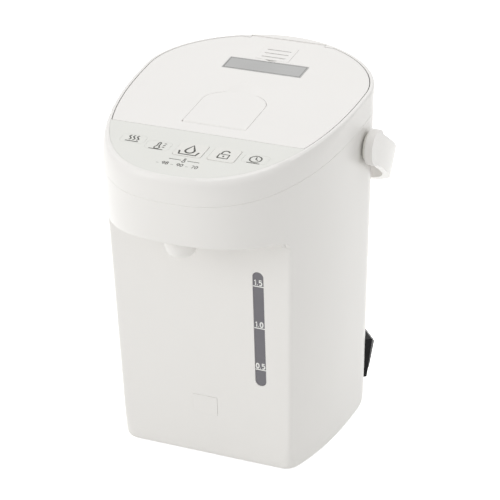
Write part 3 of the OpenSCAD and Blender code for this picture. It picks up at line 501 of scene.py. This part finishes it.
def joined(name: str, meshes: Iterable[Mesh]) -> Mesh:
    """Puts several meshes in one.

    Args:
        name: Name of the new mesh.
        meshes: The meshes, which are removed.

    Returns:
        One mesh with all their faces.
    """
    shape = bmesh.new()
    for mesh in meshes:
        shape.from_mesh(mesh)
        bpy.data.meshes.remove(mesh)
    ops.remove_doubles(shape, verts=shape.verts, dist=INK_POINT * MM)
    ops.dissolve_degenerate(shape, dist=INK_POINT * MM, edges=shape.edges)
    ops.recalc_face_normals(shape, faces=shape.faces)
    return to_mesh(shape, name)


def arc(
    cx: float, cy: float, rx: float, ry: float, start: float, end: float, steps: int = 14
) -> list[Point]:
    """Points of a part of an ellipse: its middle, half sizes, angles in degrees and steps."""
    turns = [radians(start + (end - start) * i / steps) for i in range(steps + 1)]
    return [(cx + rx * cos(t), cy + ry * sin(t)) for t in turns]


# Pen strokes of the figures, for a height of 1 about their middle.
DIGITS: dict[str, Strokes] = {
    "0": [arc(0, 0, 0.27, 0.5, 0, 360, 18)],
    "1": [[(-0.14, 0.3), (0.06, 0.5), (0.06, -0.5)]],
    "5": [[(0.24, 0.5), (-0.2, 0.5), (-0.23, 0.06)] + arc(0, -0.17, 0.27, 0.33, 125, -135, 12)],
    "7": [[(-0.26, 0.5), (0.26, 0.5), (-0.08, -0.5)]],
    "8": [arc(0, 0.26, 0.22, 0.24, 0, 360), arc(0, -0.24, 0.27, 0.26, 0, 360)],
    "9": [arc(0, 0.2, 0.27, 0.3, 0, 360, 16),
          [(0.27, 0.2), (0.25, -0.08), (0.15, -0.32), (-0.04, -0.5)]],
    ".": [[(-0.05, -0.43), (0.05, -0.43)]],
}
# Width that a figure takes, in heights.
ADVANCE = {"1": 0.55, ".": 0.34}
USUAL_ADVANCE = 0.8


def held_share(value: float) -> float:
    """Keeps a share between 0 and 1."""
    return min(1.0, max(0.0, value))


def signed_power(value: float, exponent: float) -> float:
    """Raises the size of a number to a power and keeps its sign."""
    return copysign(abs(value) ** exponent, value)


@dataclass(frozen=True)
class BodyPlan:
    """Plan of the tapered body and the planes that its pieces share, in mm."""

    half_width: float = 93.5
    front: float = 156.0
    rear: float = 81.0
    widest: float = 6.0
    front_square: float = 2.55
    rear_square: float = 1.9
    taper: float = 0.028
    height: float = 276.6
    slope_deg: float = 5.9
    shift: float = 27.729
    face_distance: float = 102.0
    face_lean_deg: float = 1.3
    frame_height: float = 19.5

    def wall(self, turn: float, z: float, inset: float) -> Point:
        """One point of the wall.

        Args:
            turn: Angle round the vessel's axis, in radians, 0 at the right.
            z: Height above the table.
            inset: Distance inwards from the wall's outside.

        Returns:
            The point's x and its y from the vessel's axis.
        """
        less = self.taper * (self.height - z) + inset
        front = sin(turn) < 0
        square = self.front_square if front else self.rear_square
        reach = self.front - less + self.widest if front else self.rear - less - self.widest
        x = (self.half_width - less) * signed_power(cos(turn), 2 / square)
        return x, self.widest + reach * signed_power(sin(turn), 2 / square)

    def face_turn(self, z: float, inset: float, face_inset: float) -> float:
        """Turn past the side, in radians, at which the wall meets the flat face."""
        reach = self.front - (self.taper * (self.height - z) + inset) + self.widest
        share = (self.widest - self.face_y(z) - face_inset) / reach
        return asin(share ** (self.front_square / 2))

    def face_y(self, z: float) -> float:
        """Place of the flat face at a height."""
        return -(self.face_distance + tan(radians(self.face_lean_deg)) * z)

    def seam_z(self, y: float) -> float:
        """Height of the seam between the casing and the top frame."""
        slope = radians(self.slope_deg)
        return self.height + tan(slope) * y - self.frame_height / cos(slope)

    def top_plane(self) -> Matrix:
        """Place of the sloping top: x to the right, y up the slope, z out of it."""
        slope = Matrix.Rotation(radians(self.slope_deg), 4, "X")
        return moved(0, self.shift, self.height) @ slope

    def face_plane(self) -> Matrix:
        """Place of the flat face: x to the right, y up the face, z out of it."""
        lean = Matrix.Rotation(radians(90 + self.face_lean_deg), 4, "X")
        return moved(0, self.shift - self.face_distance, 0) @ lean


PLAN = BodyPlan()


@dataclass
class Casing:
    """Moulded wall of the pot with its flat front, spout hood and openings, in mm."""

    wall: float = 2.5
    corner: float = 3.0
    least_corner: float = 0.15
    foot_corner: float = 8.0
    foot_corner_reach: float = 30.0
    low: float = 1.6
    foot_rise: float = 6.0
    foot_inset: float = 1.8
    foot_wall: float = 1.6
    foot_steps: int = 7
    levels: tuple[float, ...] = (20.0, 27.0, 34.0, 60.0, 100.0, 140.0, 175.0)
    inner_levels: tuple[float, ...] = (140.0, 40.0)
    flare: float = 8.5
    flare_end: float = 0.5
    flare_steps: int = 6
    hood_low: float = 195.5
    hood_floor: float = 210.0
    floor_thickness: float = 2.4
    hood_crowding: float = 0.8
    cove_start: float = 3.0
    cove: float = 16.0
    lip_front: float = 154.0
    lip_front_z: float = 208.0
    lip_slope: float = 0.15
    lip_least: float = 0.1
    lip_rounding: tuple[Point, ...] = ((1.0, 0.0), (0.3, 0.3), (0.0, 1.0))
    fillet: float = 5.6
    fillet_reach: float = 8.0
    seam_from: float = 213.0
    seam_gap: float = 0.12
    groove: float = 0.45
    groove_depth: float = 0.3
    nozzle_out: float = 135.5
    nozzle_wide: float = 12.4
    nozzle_narrow: float = 7.4
    nozzle_low: float = 192.55
    nozzle_round: float = 7.0
    nozzle_gap: float = 0.05
    bore: float = 4.0
    seat: float = 7.9
    stem: float = 4.6
    stem_z: Point = (-1.0, 5.0)
    rear_steps: int = 83
    corner_points: int = 8
    flat_points: int = 30
    halvings: int = 30

    def rear(self, z: float, inset: float, turn: float) -> list[Point]:
        """The wall from a turn past its right side, round the rear, to the same on the left."""
        steps, span = self.rear_steps, pi + 2 * turn
        return [PLAN.wall(-turn + span * i / steps, z, inset) for i in range(steps + 1)]

    def corner_at(self, z: float) -> float:
        """Size of the flat face's corner rounding: large at the foot, none under the hood."""
        above = held_share((z - self.hood_low + self.flare) / self.flare)
        below = max(0.0, 1 - (z - self.low) / self.foot_corner_reach)
        size = self.corner + (self.foot_corner - self.corner) * below**2
        return max(self.least_corner, size * (1 - above))

    def lip_z(self, y: float) -> float:
        """Height of the hood's lower edge, which slopes down to the flat face."""
        near = held_share(1 - (PLAN.face_y(self.hood_low) - y) / self.fillet_reach)
        slope_z = self.lip_front_z - self.lip_slope * (y + self.lip_front)
        return max(self.hood_low, slope_z - self.fillet * (1 - sqrt(1 - near * near)))

    def corner_start(self, z: float, inset: float) -> float:
        """Turn at which the rounding of the flat face's corner starts.

        Args:
            z: Height.
            inset: Distance inwards.

        Returns:
            The turn past the side, in radians.
        """
        end = PLAN.face_turn(z, inset, inset)
        tip = PLAN.wall(-end, z, inset)
        near, far = 0.0, end
        for _ in range(self.halvings):
            middle = (near + far) / 2
            if dist(PLAN.wall(-middle, z, inset), tip) > self.corner_at(z):
                near = middle
            else:
                far = middle
        return near

    def flat_front(self, z: float, inset: float) -> list[Point]:
        """The flat face with its rounded corners, from left to right.

        Args:
            z: Height.
            inset: Distance inwards.

        Returns:
            Points between the two ends of the rear wall.
        """
        tip_x, tip_y = PLAN.wall(-PLAN.face_turn(z, inset, inset), z, inset)
        start = PLAN.wall(-self.corner_start(z, inset), z, inset)
        flat = tip_x - self.corner_at(z)
        rounding: list[Point] = []
        for i in range(1, self.corner_points + 1):
            s = i / self.corner_points
            a, b, c = (1 - s) ** 2, 2 * s * (1 - s), s * s
            rounding.append(
                (a * start[0] + b * tip_x + c * flat, a * start[1] + b * tip_y + c * tip_y)
            )
        left = [(-x, y) for x, y in rounding]
        steps = self.flat_points + 1
        middle = [(-flat + 2 * flat * i / steps, tip_y) for i in range(1, steps)]
        return left + middle + rounding[::-1]

    def section(self, z: float, inset: float) -> list[Point]:
        """The whole wall with its flat front at one height."""
        return self.rear(z, inset, self.corner_start(z, inset)) + self.flat_front(z, inset)

    def hood_front(self, z: float, inset: float, turn: float) -> list[Point]:
        """The hood's curved front from left to right, with as many points as the flat face.

        Args:
            z: Height.
            inset: Distance inwards.
            turn: How far past the sides it starts, in radians.

        Returns:
            Points between the two ends of the rear wall, closer together near them.
        """
        count = 2 * self.corner_points + self.flat_points
        span = pi - 2 * turn
        evenly = [(i + 1) / (count + 1) for i in range(count)]
        closer = [s - self.hood_crowding * sin(2 * pi * s) / (2 * pi) for s in evenly]
        return [PLAN.wall(pi + turn + span * s, z, inset) for s in closer]

    def rings(self) -> list[list[Vector]]:
        """Lists the casing's rings, up the outside, over the top and down the inside.

        Returns:
            Rings of equally many points, in mm from the vessel's axis.
        """
        rings: list[list[Vector]] = []
        low, roof = self.hood_low, self.hood_floor
        turn = self.corner_start(low, 0)
        lip_turn = PLAN.face_turn(low, self.wall, 0)
        end_x, end_y = PLAN.wall(-lip_turn, low, self.wall)
        rear = self.rear(low, 0, turn)

        def flat_ring(z: float, inset: float) -> None:
            """Adds a level ring with a flat front."""
            rings.append([Vector((*spot, z)) for spot in self.section(z, inset)])

        def full_ring(z: float, inset: float, share: float = 0, drop: float = 0) -> None:
            """Adds a ring with a curved front, a share of the way up to the sloping seam."""
            ring = []
            for i, (_, y) in enumerate(self.rear(z, inset, turn) + self.hood_front(z, inset, turn)):
                level = z + (PLAN.seam_z(y) - drop - z) * share
                around = self.rear(level, inset, turn) + self.hood_front(level, inset, turn)
                ring.append(Vector((*around[i], level)))
            rings.append(ring)

        def hood_ring(front: list[Point], heights: Iterable[float]) -> None:
            """Adds a ring at the hood's foot, whose front has heights of its own."""
            rings.append(
                [Vector((*spot, low)) for spot in rear]
                + [Vector((*spot, z)) for spot, z in zip(front, heights)]
            )

        def ceiling(x: float, y: float) -> float:
            """Height of the recess under the hood, which comes down to the lip in its corners."""
            away = hypot(abs(x) - end_x, y - end_y)
            share = held_share((away - self.cove_start) / self.cove)
            return low + (roof - low) * share * share * (3 - 2 * share)

        for i in range(self.foot_steps + 1):
            share = cos(radians(90 * i / self.foot_steps))
            inset = self.foot_inset * (1 - sqrt(1 - share * share))
            flat_ring(self.low + self.foot_rise * (1 - share), inset)
        for z in self.levels:
            flat_ring(z, 0)
        for i in range(self.flare_steps + 1):
            rise = (self.flare - self.flare_end) * i / self.flare_steps
            flat_ring(low - self.flare + rise, 0)
        flat_ring(low, 0)
        # the hood's underside: the recess up to its ceiling, and the lip round it
        flat_from = self.corner_points
        for z in (low, roof):
            face = [
                (x, y) if flat_from <= i < flat_from + self.flat_points
                else (copysign(end_x, x), end_y)
                for i, (x, y) in enumerate(self.flat_front(z, 0))
            ]
            hood_ring(face, [min(z, ceiling(x, y)) for x, y in face])
        lip = self.hood_front(low, self.wall, lip_turn)
        lip[0], lip[-1] = (-end_x, end_y), (end_x, end_y)
        hood_ring(lip, [max(self.lip_z(y) + self.lip_least, ceiling(x, y)) for x, y in lip])
        hood_ring(lip, [self.lip_z(y) for _, y in lip])
        for inset, rise in self.lip_rounding:
            lip = self.hood_front(low, inset, turn)
            hood_ring(lip, [self.lip_z(y) + rise for _, y in lip])
        for inset, share, drop in (
            (0, 0, 0), (0, 0.5, 0), (0, 1, self.groove), (self.groove_depth, 1, self.seam_gap),
            (self.wall, 1, self.seam_gap),
        ):
            full_ring(self.seam_from, inset, share, drop)
        inner_top = roof + self.floor_thickness
        full_ring(inner_top, self.wall)
        for z in (inner_top, *self.inner_levels, self.low + self.foot_rise):
            flat_ring(z, self.wall)
        flat_ring(self.low, self.foot_inset + self.foot_wall)
        return rings

    def openings(self) -> BMesh:
        """Makes what is cut out of the wall: gauge window, badge seat, inlet and pivot holes.

        Returns:
            One bmesh with the closed shapes.
        """
        gauge, inlet, handle = WaterGauge(), PowerInlet(), CarryHandle()
        face = PLAN.face_plane()
        cutters = bmesh.new()
        ops.create_circle(cutters, cap_ends=True, segments=32, radius=gauge.slot_half * MM)
        for vert in cutters.verts:
            # a circle's side points lie at 0 but for rounding, and belong to the lower half
            vert.co.y += (gauge.slot_top if vert.co.y > 1e-7 else gauge.slot_low) * MM
        grown = ops.extrude_face_region(cutters, geom=cutters.faces[:])["geom"]
        raised = [v for v in grown if isinstance(v, BMVert)]
        ops.translate(cutters, verts=raised, vec=(0, 0, gauge.cut_depth * MM))
        start = moved(gauge.middle, 0, gauge.cut_from)
        ops.transform(cutters, verts=cutters.verts, matrix=face @ start)
        badge = face @ moved(0, gauge.badge_middle, 0)
        for place, size in ((badge, gauge.badge_seat), (inlet.place(), inlet.opening)):
            scale = Matrix.Diagonal((size[0] * MM, size[1] * MM, size[2] * MM, 1))
            ops.create_cube(cutters, size=1, matrix=place @ scale)
        across = Matrix.Rotation(radians(90), 4, "Y")
        radius = handle.pivot_hole * MM
        ops.create_cone(
            cutters, cap_ends=True, segments=40, radius1=radius, radius2=radius,
            depth=handle.pivot_span * MM, matrix=moved(0, PLAN.shift, handle.pivot_z) @ across,
        )
        ops.recalc_face_normals(cutters, faces=cutters.faces)
        return cutters

    def moulded(self, shape: BMesh, name: str, nodes: Sequence[str]) -> Object:
        """Moves a shape from mm round the vessel's axis to its place and shows it.

        Args:
            shape: The bmesh, which is freed.
            name: Name of the piece.
            nodes: CAD nodes that the piece stands for.

        Returns:
            The piece.
        """
        ops.translate(shape, verts=shape.verts, vec=(0, PLAN.shift, 0))
        ops.scale(shape, verts=shape.verts, vec=(MM, MM, MM))
        ops.recalc_face_normals(shape, faces=shape.faces)
        return shown(to_mesh(shape, name), "body", "gloss_ivory", stands_for=nodes)

    def build(self) -> None:
        """Builds the casing with the hood's floor, ring by ring, and the nozzle."""
        rings = self.rings()
        shape = bmesh.new()
        current = ops.create_circle(shape, segments=len(rings[0]), radius=1)["verts"]
        first = edges = shape.edges[:]
        for vert, spot in zip(current, rings[0]):
            vert.co = spot
        for spots in rings[1:]:
            grown = ops.extrude_edge_only(shape, edges=edges)["geom"]
            fresh = {v for v in grown if isinstance(v, BMVert)}
            edges = [e for e in grown if isinstance(e, BMEdge) and fresh.issuperset(e.verts)]
            above = {edge.other_vert(vert): vert for vert in fresh for edge in vert.link_edges}
            current = [above[v] for v in current]
            for vert, spot in zip(current, spots):
                vert.co = spot
        ops.bridge_loops(shape, edges=first + edges)
        ops.remove_doubles(shape, verts=shape.verts, dist=RING_POINT)
        ops.dissolve_degenerate(shape, dist=RING_POINT, edges=shape.edges)
        casing = self.moulded(shape, "casing_shell", ("outer_casing", "hood_floor"))
        carve(casing, self.openings())
        soften(casing, 0.12)
        self.build_nozzle()

    def build_nozzle(self) -> None:
        """Builds the nozzle as one turned shape: a short bowl with a round lower edge."""
        roof, tip, out = self.hood_floor, self.nozzle_low, self.nozzle_out
        round_from = roof - self.nozzle_round
        outline = [(self.bore, tip), (self.nozzle_narrow, tip)]
        for degrees in range(10, 91, 10):
            a = radians(degrees)
            wide = self.nozzle_narrow + (self.nozzle_wide - self.nozzle_narrow) * sin(a)
            outline.append((wide, round_from - (round_from - tip) * cos(a)))
        top, (stem_low, stem_top) = roof - self.nozzle_gap, self.stem_z
        outline += [(self.nozzle_wide, top), (self.seat, top), (self.seat, roof + stem_top),
                    (self.stem, roof + stem_top), (self.stem, roof + stem_low),
                    (self.bore, roof + stem_low)]
        shape = bmesh.new()
        spots = [shape.verts.new((x, -out, z)) for x, z in outline]
        edges = [shape.edges.new(pair) for pair in zip(spots, spots[1:] + spots[:1])]
        ops.spin(
            shape, geom=spots + edges, cent=(0, -out, 0), axis=(0, 0, 1), angle=2 * pi,
            steps=64, use_merge=True,
        )
        soften(self.moulded(shape, "pour_nozzle", ("nozzle",)), 0.6, 3)


@dataclass
class ControlPanel:
    """Top frame, printed film, five keys and the row of temperature figures, in mm."""

    figures: tuple[tuple[str, float], ...] = (("98", -10.8), ("90", 0.8), ("70", 12.4))
    figure_row: float = -135.4
    figure_height: float = 3.5
    figure_pen: float = 0.75
    sign_pen: float = 0.7
    lamps: tuple[float, ...] = (-17.6, -6.0, 5.6)
    lamp_row: float = -136.3
    lamp_width: float = 2.0
    lamp_pen: float = 0.8
    ink_rise: float = 0.01
    sign_scale: Matrix = Matrix.Diagonal((1.2, 1.15, 1, 1))
    close_fit: Matrix = Matrix.Diagonal((1.018, 1.027, 1, 1))

    def legends(self) -> list[tuple[str, Point, float, Strokes, float]]:
        """Lists the keys and the generic signs printed on them.

        Returns:
            Each key's name, the sign's middle in the top's plane, how far the key stands out of
            the film, and the sign's strokes and line width, in mm.
        """
        steam = [
            [(x + 0.9 * sin(i / 12 * 2 * pi), -1.6 + 5.6 * i / 12) for i in range(13)]
            for x in (-2.6, 0.0, 2.6)
        ] + [[(-4.4, -3.2), (4.4, -3.2)]]
        bulb = arc(0, -2.4, 1.7, 1.7, 115, 425, 18)
        warm = [bulb, arc(0, 3.0, 0.75, 0.75, 0, 180, 8), [(-0.75, -0.9), (-0.75, 3.0)],
                [(0.75, -0.9), (0.75, 3.0)], [(3.0, 3.0), (4.6, 3.0)], [(3.0, 0.8), (4.6, 0.8)],
                [(3.0, -1.4), (4.6, -1.4)], [(-4.6, -4.6), (4.6, -4.6)]]
        drop = arc(0, -1.2, 2.9, 2.9, 150, 390, 20) + [(0, 5.6), (-2.51, 0.25)]
        cup = [drop, [(-6.4, -2.2), (-5.4, -6.2), (5.4, -6.2), (6.4, -2.2)]]
        shackle = [(-2.2, 0.4), (-2.2, 2.6)] + arc(0, 2.6, 2.2, 2.2, 180, 10, 12)
        lock = [[(-3.3, -4.4), (3.3, -4.4), (3.3, 0.4), (-3.3, 0.4), (-3.3, -4.4)], shackle,
                [(0, -1.2), (0, -2.8)]]
        clock = [arc(0, 0, 3.7, 3.7, 0, 360, 28), [(0, 2.4), (0, 0), (1.7, -1.1)],
                 [(-4.2, -5.0), (4.2, -5.0)]]
        return [
            ("reboil", (-48.5, -109.5), 0.0, steam, 0.95),
            ("keep_warm", (-26.5, -113.5), 0.0, warm, 0.85),
            ("dispense", (-0.5, -113.2), 0.3, cup, 1.3),
            ("unlock", (26.0, -112.7), 0.3, lock, 1.05),
            ("timer", (50.0, -111.5), 0.0, clock, 0.9),
        ]

    def build_keys(self) -> None:
        """Builds the keys with rounded edges and prints their signs."""
        for name, at, raised, strokes, width in self.legends():
            node = f"{name}_key"
            cap = refined_node(node, f"{name}_cap", 0.2 if raised else 0.05)
            place = PLAN.top_plane() @ moved(*at, raised + self.ink_rise)
            if not raised:
                cap.data.transform(place @ self.close_fit @ place.inverted())
            sign = printed_strokes(f"{name}_sign", strokes, width, place @ self.sign_scale)
            shown(sign, node, "grey_plastic", GREY_INK)

    def build_figures(self) -> None:
        """Prints the temperatures, their thermometer and the lamp spots beside them."""
        film = PLAN.top_plane()
        rows = [(text, (x, self.figure_row)) for text, x in self.figures]
        thermometer = [arc(1.2, -130.1, 1.15, 1.15, 115, 425, 12), [(0.7, -129.0), (0.7, -126.2)],
                       [(1.7, -129.0), (1.7, -126.2)], arc(1.2, -126.2, 0.5, 0.5, 0, 180, 6),
                       [(-10.8, -128.6), (-1.4, -128.6)], [(3.8, -128.6), (13.2, -128.6)]]
        parts = printed_figures(rows, self.figure_height, self.figure_pen, film)
        parts.append(printed_strokes("thermometer", thermometer, self.sign_pen, film))
        shown(joined("temperature_figures", parts), "body", "grey_plastic", GREY_INK)
        dashes = [[(x, self.lamp_row), (x + self.lamp_width, self.lamp_row)] for x in self.lamps]
        spots = printed_strokes("lamp_spots", dashes, self.lamp_pen, film)
        shown(spots, "body", "panel_film", PALE_INK)

    def build(self) -> None:
        """Builds the frame, the film, the keys and the print."""
        refined_node("top_frame", "shoulder_frame", 0.1)
        refined_node("control_panel", "printed_film", 0.04)
        self.build_keys()
        self.build_figures()


@dataclass
class WaterGauge:
    """Smoked window with its level marks, and the bare badge tile, in mm in the face's plane."""

    middle: float = 47.5
    slot_half: float = 4.5
    slot_low: float = 78.0
    slot_top: float = 167.0
    cut_from: float = -5.0
    cut_depth: float = 8.0
    badge_middle: float = 46.8
    badge_seat: Spot = (20.6, 16.2, 1.6)
    sunk: float = 0.55
    mark_half: float = 4.3
    mark_pen: float = 0.85
    figure_shift: Point = (-0.1, 3.2)
    figure_height: float = 4.1
    figure_pen: float = 1.05
    marks: tuple[tuple[str, float], ...] = (("1.5", 159.2), ("1.0", 123.6), ("0.5", 87.6))

    def build(self) -> None:
        """Builds the window, its marks and the tile."""
        refined_node("gauge_window", "smoked_window", 0.2)
        refined_node("badge_tile", "bare_badge", 0.1)
        pane = PLAN.face_plane() @ moved(self.middle, 0, -self.sunk)
        x, rise = self.figure_shift
        rows = [(text, (x, z + rise)) for text, z in self.marks]
        parts = printed_figures(rows, self.figure_height, self.figure_pen, pane)
        lines = [[(-self.mark_half, z), (self.mark_half, z)] for _, z in self.marks]
        parts.append(printed_strokes("levels", lines, self.mark_pen, pane))
        shown(joined("level_marks", parts), "body", "moulded_white", WHITE_INK)


@dataclass
class Lid:
    """Hinged lid with its lever, steam vent, bare plate and plug, in mm."""

    plate_y: float = 24.5
    border: Point = (31.8, 8.05)
    border_rise: float = 0.1
    border_pen: float = 0.5
    lever_fit: Matrix = Matrix.Diagonal((1.009, 1, 1, 1))

    def build(self) -> None:
        """Builds the lid's visible pieces."""
        refined_node("lid_top", "lid_shell", 0.3)
        refined_node("lid_underside", "lid_plug", 0.6)
        lever = refined_node("lid_lever", "lid_lever_plate", 0.2)
        lever.data.transform(self.lever_fit)
        refined_node("latch_bolt", "latch_tongue", 0.3)
        refined_node("steam_vent_cap", "steam_louvre", 0.1)
        refined_node("foil_plate", "bare_foil_plate", 0.08)
        x, y = self.border
        place = PLAN.top_plane() @ moved(0, self.plate_y, self.border_rise)
        loop = [(-x, -y), (x, -y), (x, y), (-x, y), (-x, -y)]
        border = printed_strokes("foil_border", [loop], self.border_pen, place)
        shown(border, "lid", "grey_plastic", GREY_INK)


@dataclass
class CarryHandle:
    """Carrying handle, stowed behind the pot on its two pivots, in mm."""

    edge: float = 2.0
    pivot_z: float = 237.0
    pivot_hole: float = 5.5
    pivot_span: float = 300.0

    def build(self) -> None:
        """Builds the band and the pivots."""
        refined_node("handle_bail", "carry_handle", self.edge, 3, True)
        refined_node("handle_pivots", "handle_pivot_pins", 0.4)


@dataclass
class PowerInlet:
    """Magnetic power inlet at the right of the rear, in mm."""

    middle: Spot = (72.25, 69.56, 36.0)
    turn_deg: float = 40.0
    opening: Spot = (44.2, 34.2, 30.0)
    bottom: float = 22.0
    root: float = 0.5
    top_cut: float = 4.0
    top_lean: float = 0.2
    bottom_cut: float = 4.8
    socket_half: float = 13.5

    def place(self) -> Matrix:
        """Place of the inlet: z out of the wall, x down."""
        turn = Matrix.Rotation(radians(self.turn_deg), 4, "Z")
        return moved(*self.middle) @ turn @ Matrix.Rotation(radians(90), 4, "Y")

    def build(self) -> None:
        """Builds the housing with its sloping lower face, the pins and the magnet plate."""
        housing = refined_node("inlet_housing", "inlet_shroud", 0.6, 3)
        inside = self.place().inverted()
        for vert in housing.data.vertices:
            spot = inside @ vert.co
            down, out = spot.x / MM, spot.z / MM
            if out > self.root and down > 0:
                left = 1 - min(1.0, down / self.bottom)
                spot.z = (self.root + (out - self.root) * left) * MM
            if down < -self.socket_half:
                spot.x += (self.top_cut + self.top_lean * max(0.0, out)) * MM
            elif down > self.socket_half:
                spot.x -= self.bottom_cut * MM
            vert.co = self.place() @ spot
        refined_node("inlet_pins", "contact_pins", 0.4)
        refined_node("inlet_magnet_plate", "magnet_plate", 0.2)


def inside_loop(spot: Vector, loop: Sequence[Vector]) -> Vector:
    """Moves a point to the nearest place on a loop if it lies outside it.

    Args:
        spot: The point, with z at 0.
        loop: Points of a closed outline that runs anticlockwise.

    Returns:
        The point or its nearest place on the loop.
    """
    sides = []
    for start, end in zip(loop, [*loop[1:], loop[0]]):
        along = end - start
        if along.length_squared < 1e-14:
            continue
        near = start + along * held_share((spot - start).dot(along) / along.length_squared)
        sides.append(((spot - near).length, near, along.cross(spot - start).z < 0))
    _, near, outside = min(sides, key=lambda side: side[0])
    return near if outside else spot


@dataclass
class Underside:
    """Base plate, feet and screws, in mm."""

    tray_inset: float = 4.2
    tray_top: float = 5.2
    tray_section: float = 6.0
    plain_radius: float = 60.0

    def build(self) -> None:
        """Builds what shows from below, with the tray's rim kept inside the casing."""
        tray = refined_node("base_plate", "base_tray", 0.6)
        axis = Vector((0, PLAN.shift, 0)) * MM
        rim = Casing().section(self.tray_section, self.tray_inset)
        loop = [Vector((x, y + PLAN.shift, 0)) * MM for x, y in rim]
        for vert in tray.data.vertices:
            flat = Vector((vert.co.x, vert.co.y, 0))
            far = (flat - axis).length > self.plain_radius * MM
            if far and vert.co.z < self.tray_top * MM:
                kept = inside_loop(flat, loop)
                vert.co.x, vert.co.y = kept.x, kept.y
        refined_node("feet", "rubber_feet", 0.5)
        refined_node("base_screws", "tray_screws", 0.3)


@dataclass
class InnerPieces:
    """Vessel and everything that keeps its CAD shape."""

    vessel_edge: float = 0.4

    def build(self) -> None:
        """Refines the pieces that an open lid or the window shows and dresses the rest."""
        refined_node("inner_vessel", "water_vessel", self.vessel_edge)
        refined_node("lid_seal", "lid_gasket", 0.5)
        refined_node("gauge_tube", "level_tube", 0.1)
        for node, piece in frame["nodes"].items():
            piece.data.materials.clear()
            piece.data.materials.append(SLOT_FINISHES[NODE_SLOTS[node]].material())
            LOG.info("%s: dressed as %s", node, NODE_SLOTS[node])


@dataclass
class Studio:
    """White floor and surroundings, soft lamps and the camera, in metres."""

    lens: float = 154.71
    spot: Spot = (0.616153, -1.372733, 0.889452)
    right: Spot = (0.91760852, 0.39704674, -0.01866818)
    up: Spot = (-0.16075369, 0.4136493, 0.89613197)
    back: Spot = (0.36352835, -0.81929735, 0.44339485)
    floor_half: float = 4.0
    floor_z: float = -0.0002
    floor_glow: float = 0.85
    side_light: Point = (0.73, 0.56)
    lamp_aim: Spot = (0, 0, 0.14)
    # name, place, width of the square face and watts
    lamps: tuple[tuple[str, Spot, float, float], ...] = (
        ("key_softbox", (-1.3, -1.5, 1.1), 1.2, 8.6),
        ("top_softbox", (0.2, 0.4, 1.9), 1.4, 7.0),
    )

    def seen_directly(self, tree: NodeTree) -> NodeSocket:
        """Adds a switch that is 1 for what the camera, a reflection or glass sees.

        Args:
            tree: Node tree of a material or the world.

        Returns:
            The switch's output.
        """
        rays = add_node(tree, "LightPath").outputs
        seen = rays["Is Camera Ray"]
        for ray in ("Is Glossy Ray", "Is Transmission Ray"):
            either = {0: seen, 1: rays[ray]}
            seen = add_node(tree, "Math", {"operation": "MAXIMUM"}, either).outputs[0]
        return seen

    def build_floor(self) -> None:
        """Builds the floor: white to the camera, and darker only where the pot shades it."""
        shape = bmesh.new()
        ops.create_grid(shape, x_segments=2, y_segments=2, size=self.floor_half)
        floor = placed("floor", to_mesh(shape, "floor"))
        floor.location.z = self.floor_z
        made = bpy.data.materials.new("painted_floor")
        tree = cleared_tree(made)
        paint = add_node(tree, "BsdfDiffuse", {"Color": linear("#F0F0EE")})
        lift = add_node(tree, "Math", {"operation": "MULTIPLY"}, {0: self.seen_directly(tree)})
        lift.inputs[1].default_value = self.floor_glow
        glow = add_node(
            tree, "Emission", {"Color": (1, 1, 1, 1)}, {"Strength": lift.outputs[0]}
        )
        both = add_node(
            tree, "AddShader", links={0: paint.outputs[0], 1: glow.outputs[0]}
        )
        add_node(tree, "OutputMaterial", links={"Surface": both.outputs[0]})
        floor.data.materials.append(made)

    def build_world(self) -> None:
        """Builds the even surroundings, white where they are seen."""
        bpy.context.scene.world = bpy.data.worlds.new("studio_world")
        tree = cleared_tree(bpy.context.scene.world)
        aim = add_node(tree, "TexCoord").outputs["Generated"]
        sides = add_node(tree, "SeparateXYZ", links={"Vector": aim})
        left, right = self.side_light
        falloff = add_node(
            tree, "MapRange",
            {"From Min": -0.1, "From Max": 1.0, "To Min": left, "To Max": right},
            {"Value": sides.outputs["X"]},
        )
        strength = add_node(
            tree, "MapRange", {"To Max": 1.0},
            {"Value": self.seen_directly(tree), "To Min": falloff.outputs["Result"]},
        )
        light = add_node(
            tree, "Background", {"Color": (1, 1, 1, 1)},
            {"Strength": strength.outputs["Result"]},
        )
        add_node(tree, "OutputWorld", links={"Surface": light.outputs[0]})

    def build_lamps(self) -> None:
        """Adds the soft lamps, which point at the pot's middle."""
        for name, spot, size, power in self.lamps:
            light = bpy.data.lights.new(name, "AREA")
            light.size, light.energy = size, power
            lamp = placed(name, light)
            lamp.location = spot
            aim = Vector(self.lamp_aim) - Vector(spot)
            lamp.rotation_euler = aim.to_track_quat("-Z", "Y").to_euler()

    def build(self) -> None:
        """Builds the studio and sets the scene's camera and view transform."""
        self.build_floor()
        self.build_world()
        self.build_lamps()
        camera = placed("camera", bpy.data.cameras.new("camera"))
        camera.data.lens = self.lens
        camera.data.sensor_width = 36.0
        turned = Matrix((self.right, self.up, self.back)).transposed().to_4x4()
        camera.matrix_world = Matrix.Translation(self.spot) @ turned
        bpy.context.scene.camera = camera
        bpy.context.scene.view_settings.view_transform = "Standard"


def main() -> None:
    """Builds the pot's looks piece by piece and the studio round it."""
    logging.basicConfig(level=logging.INFO, format="%(message)s")
    for assembly in (
        Casing(), ControlPanel(), WaterGauge(), Lid(), CarryHandle(), PowerInlet(), Underside(),
        InnerPieces(), Studio(),
    ):
        assembly.build()


if __name__ == "__main__":
    main()
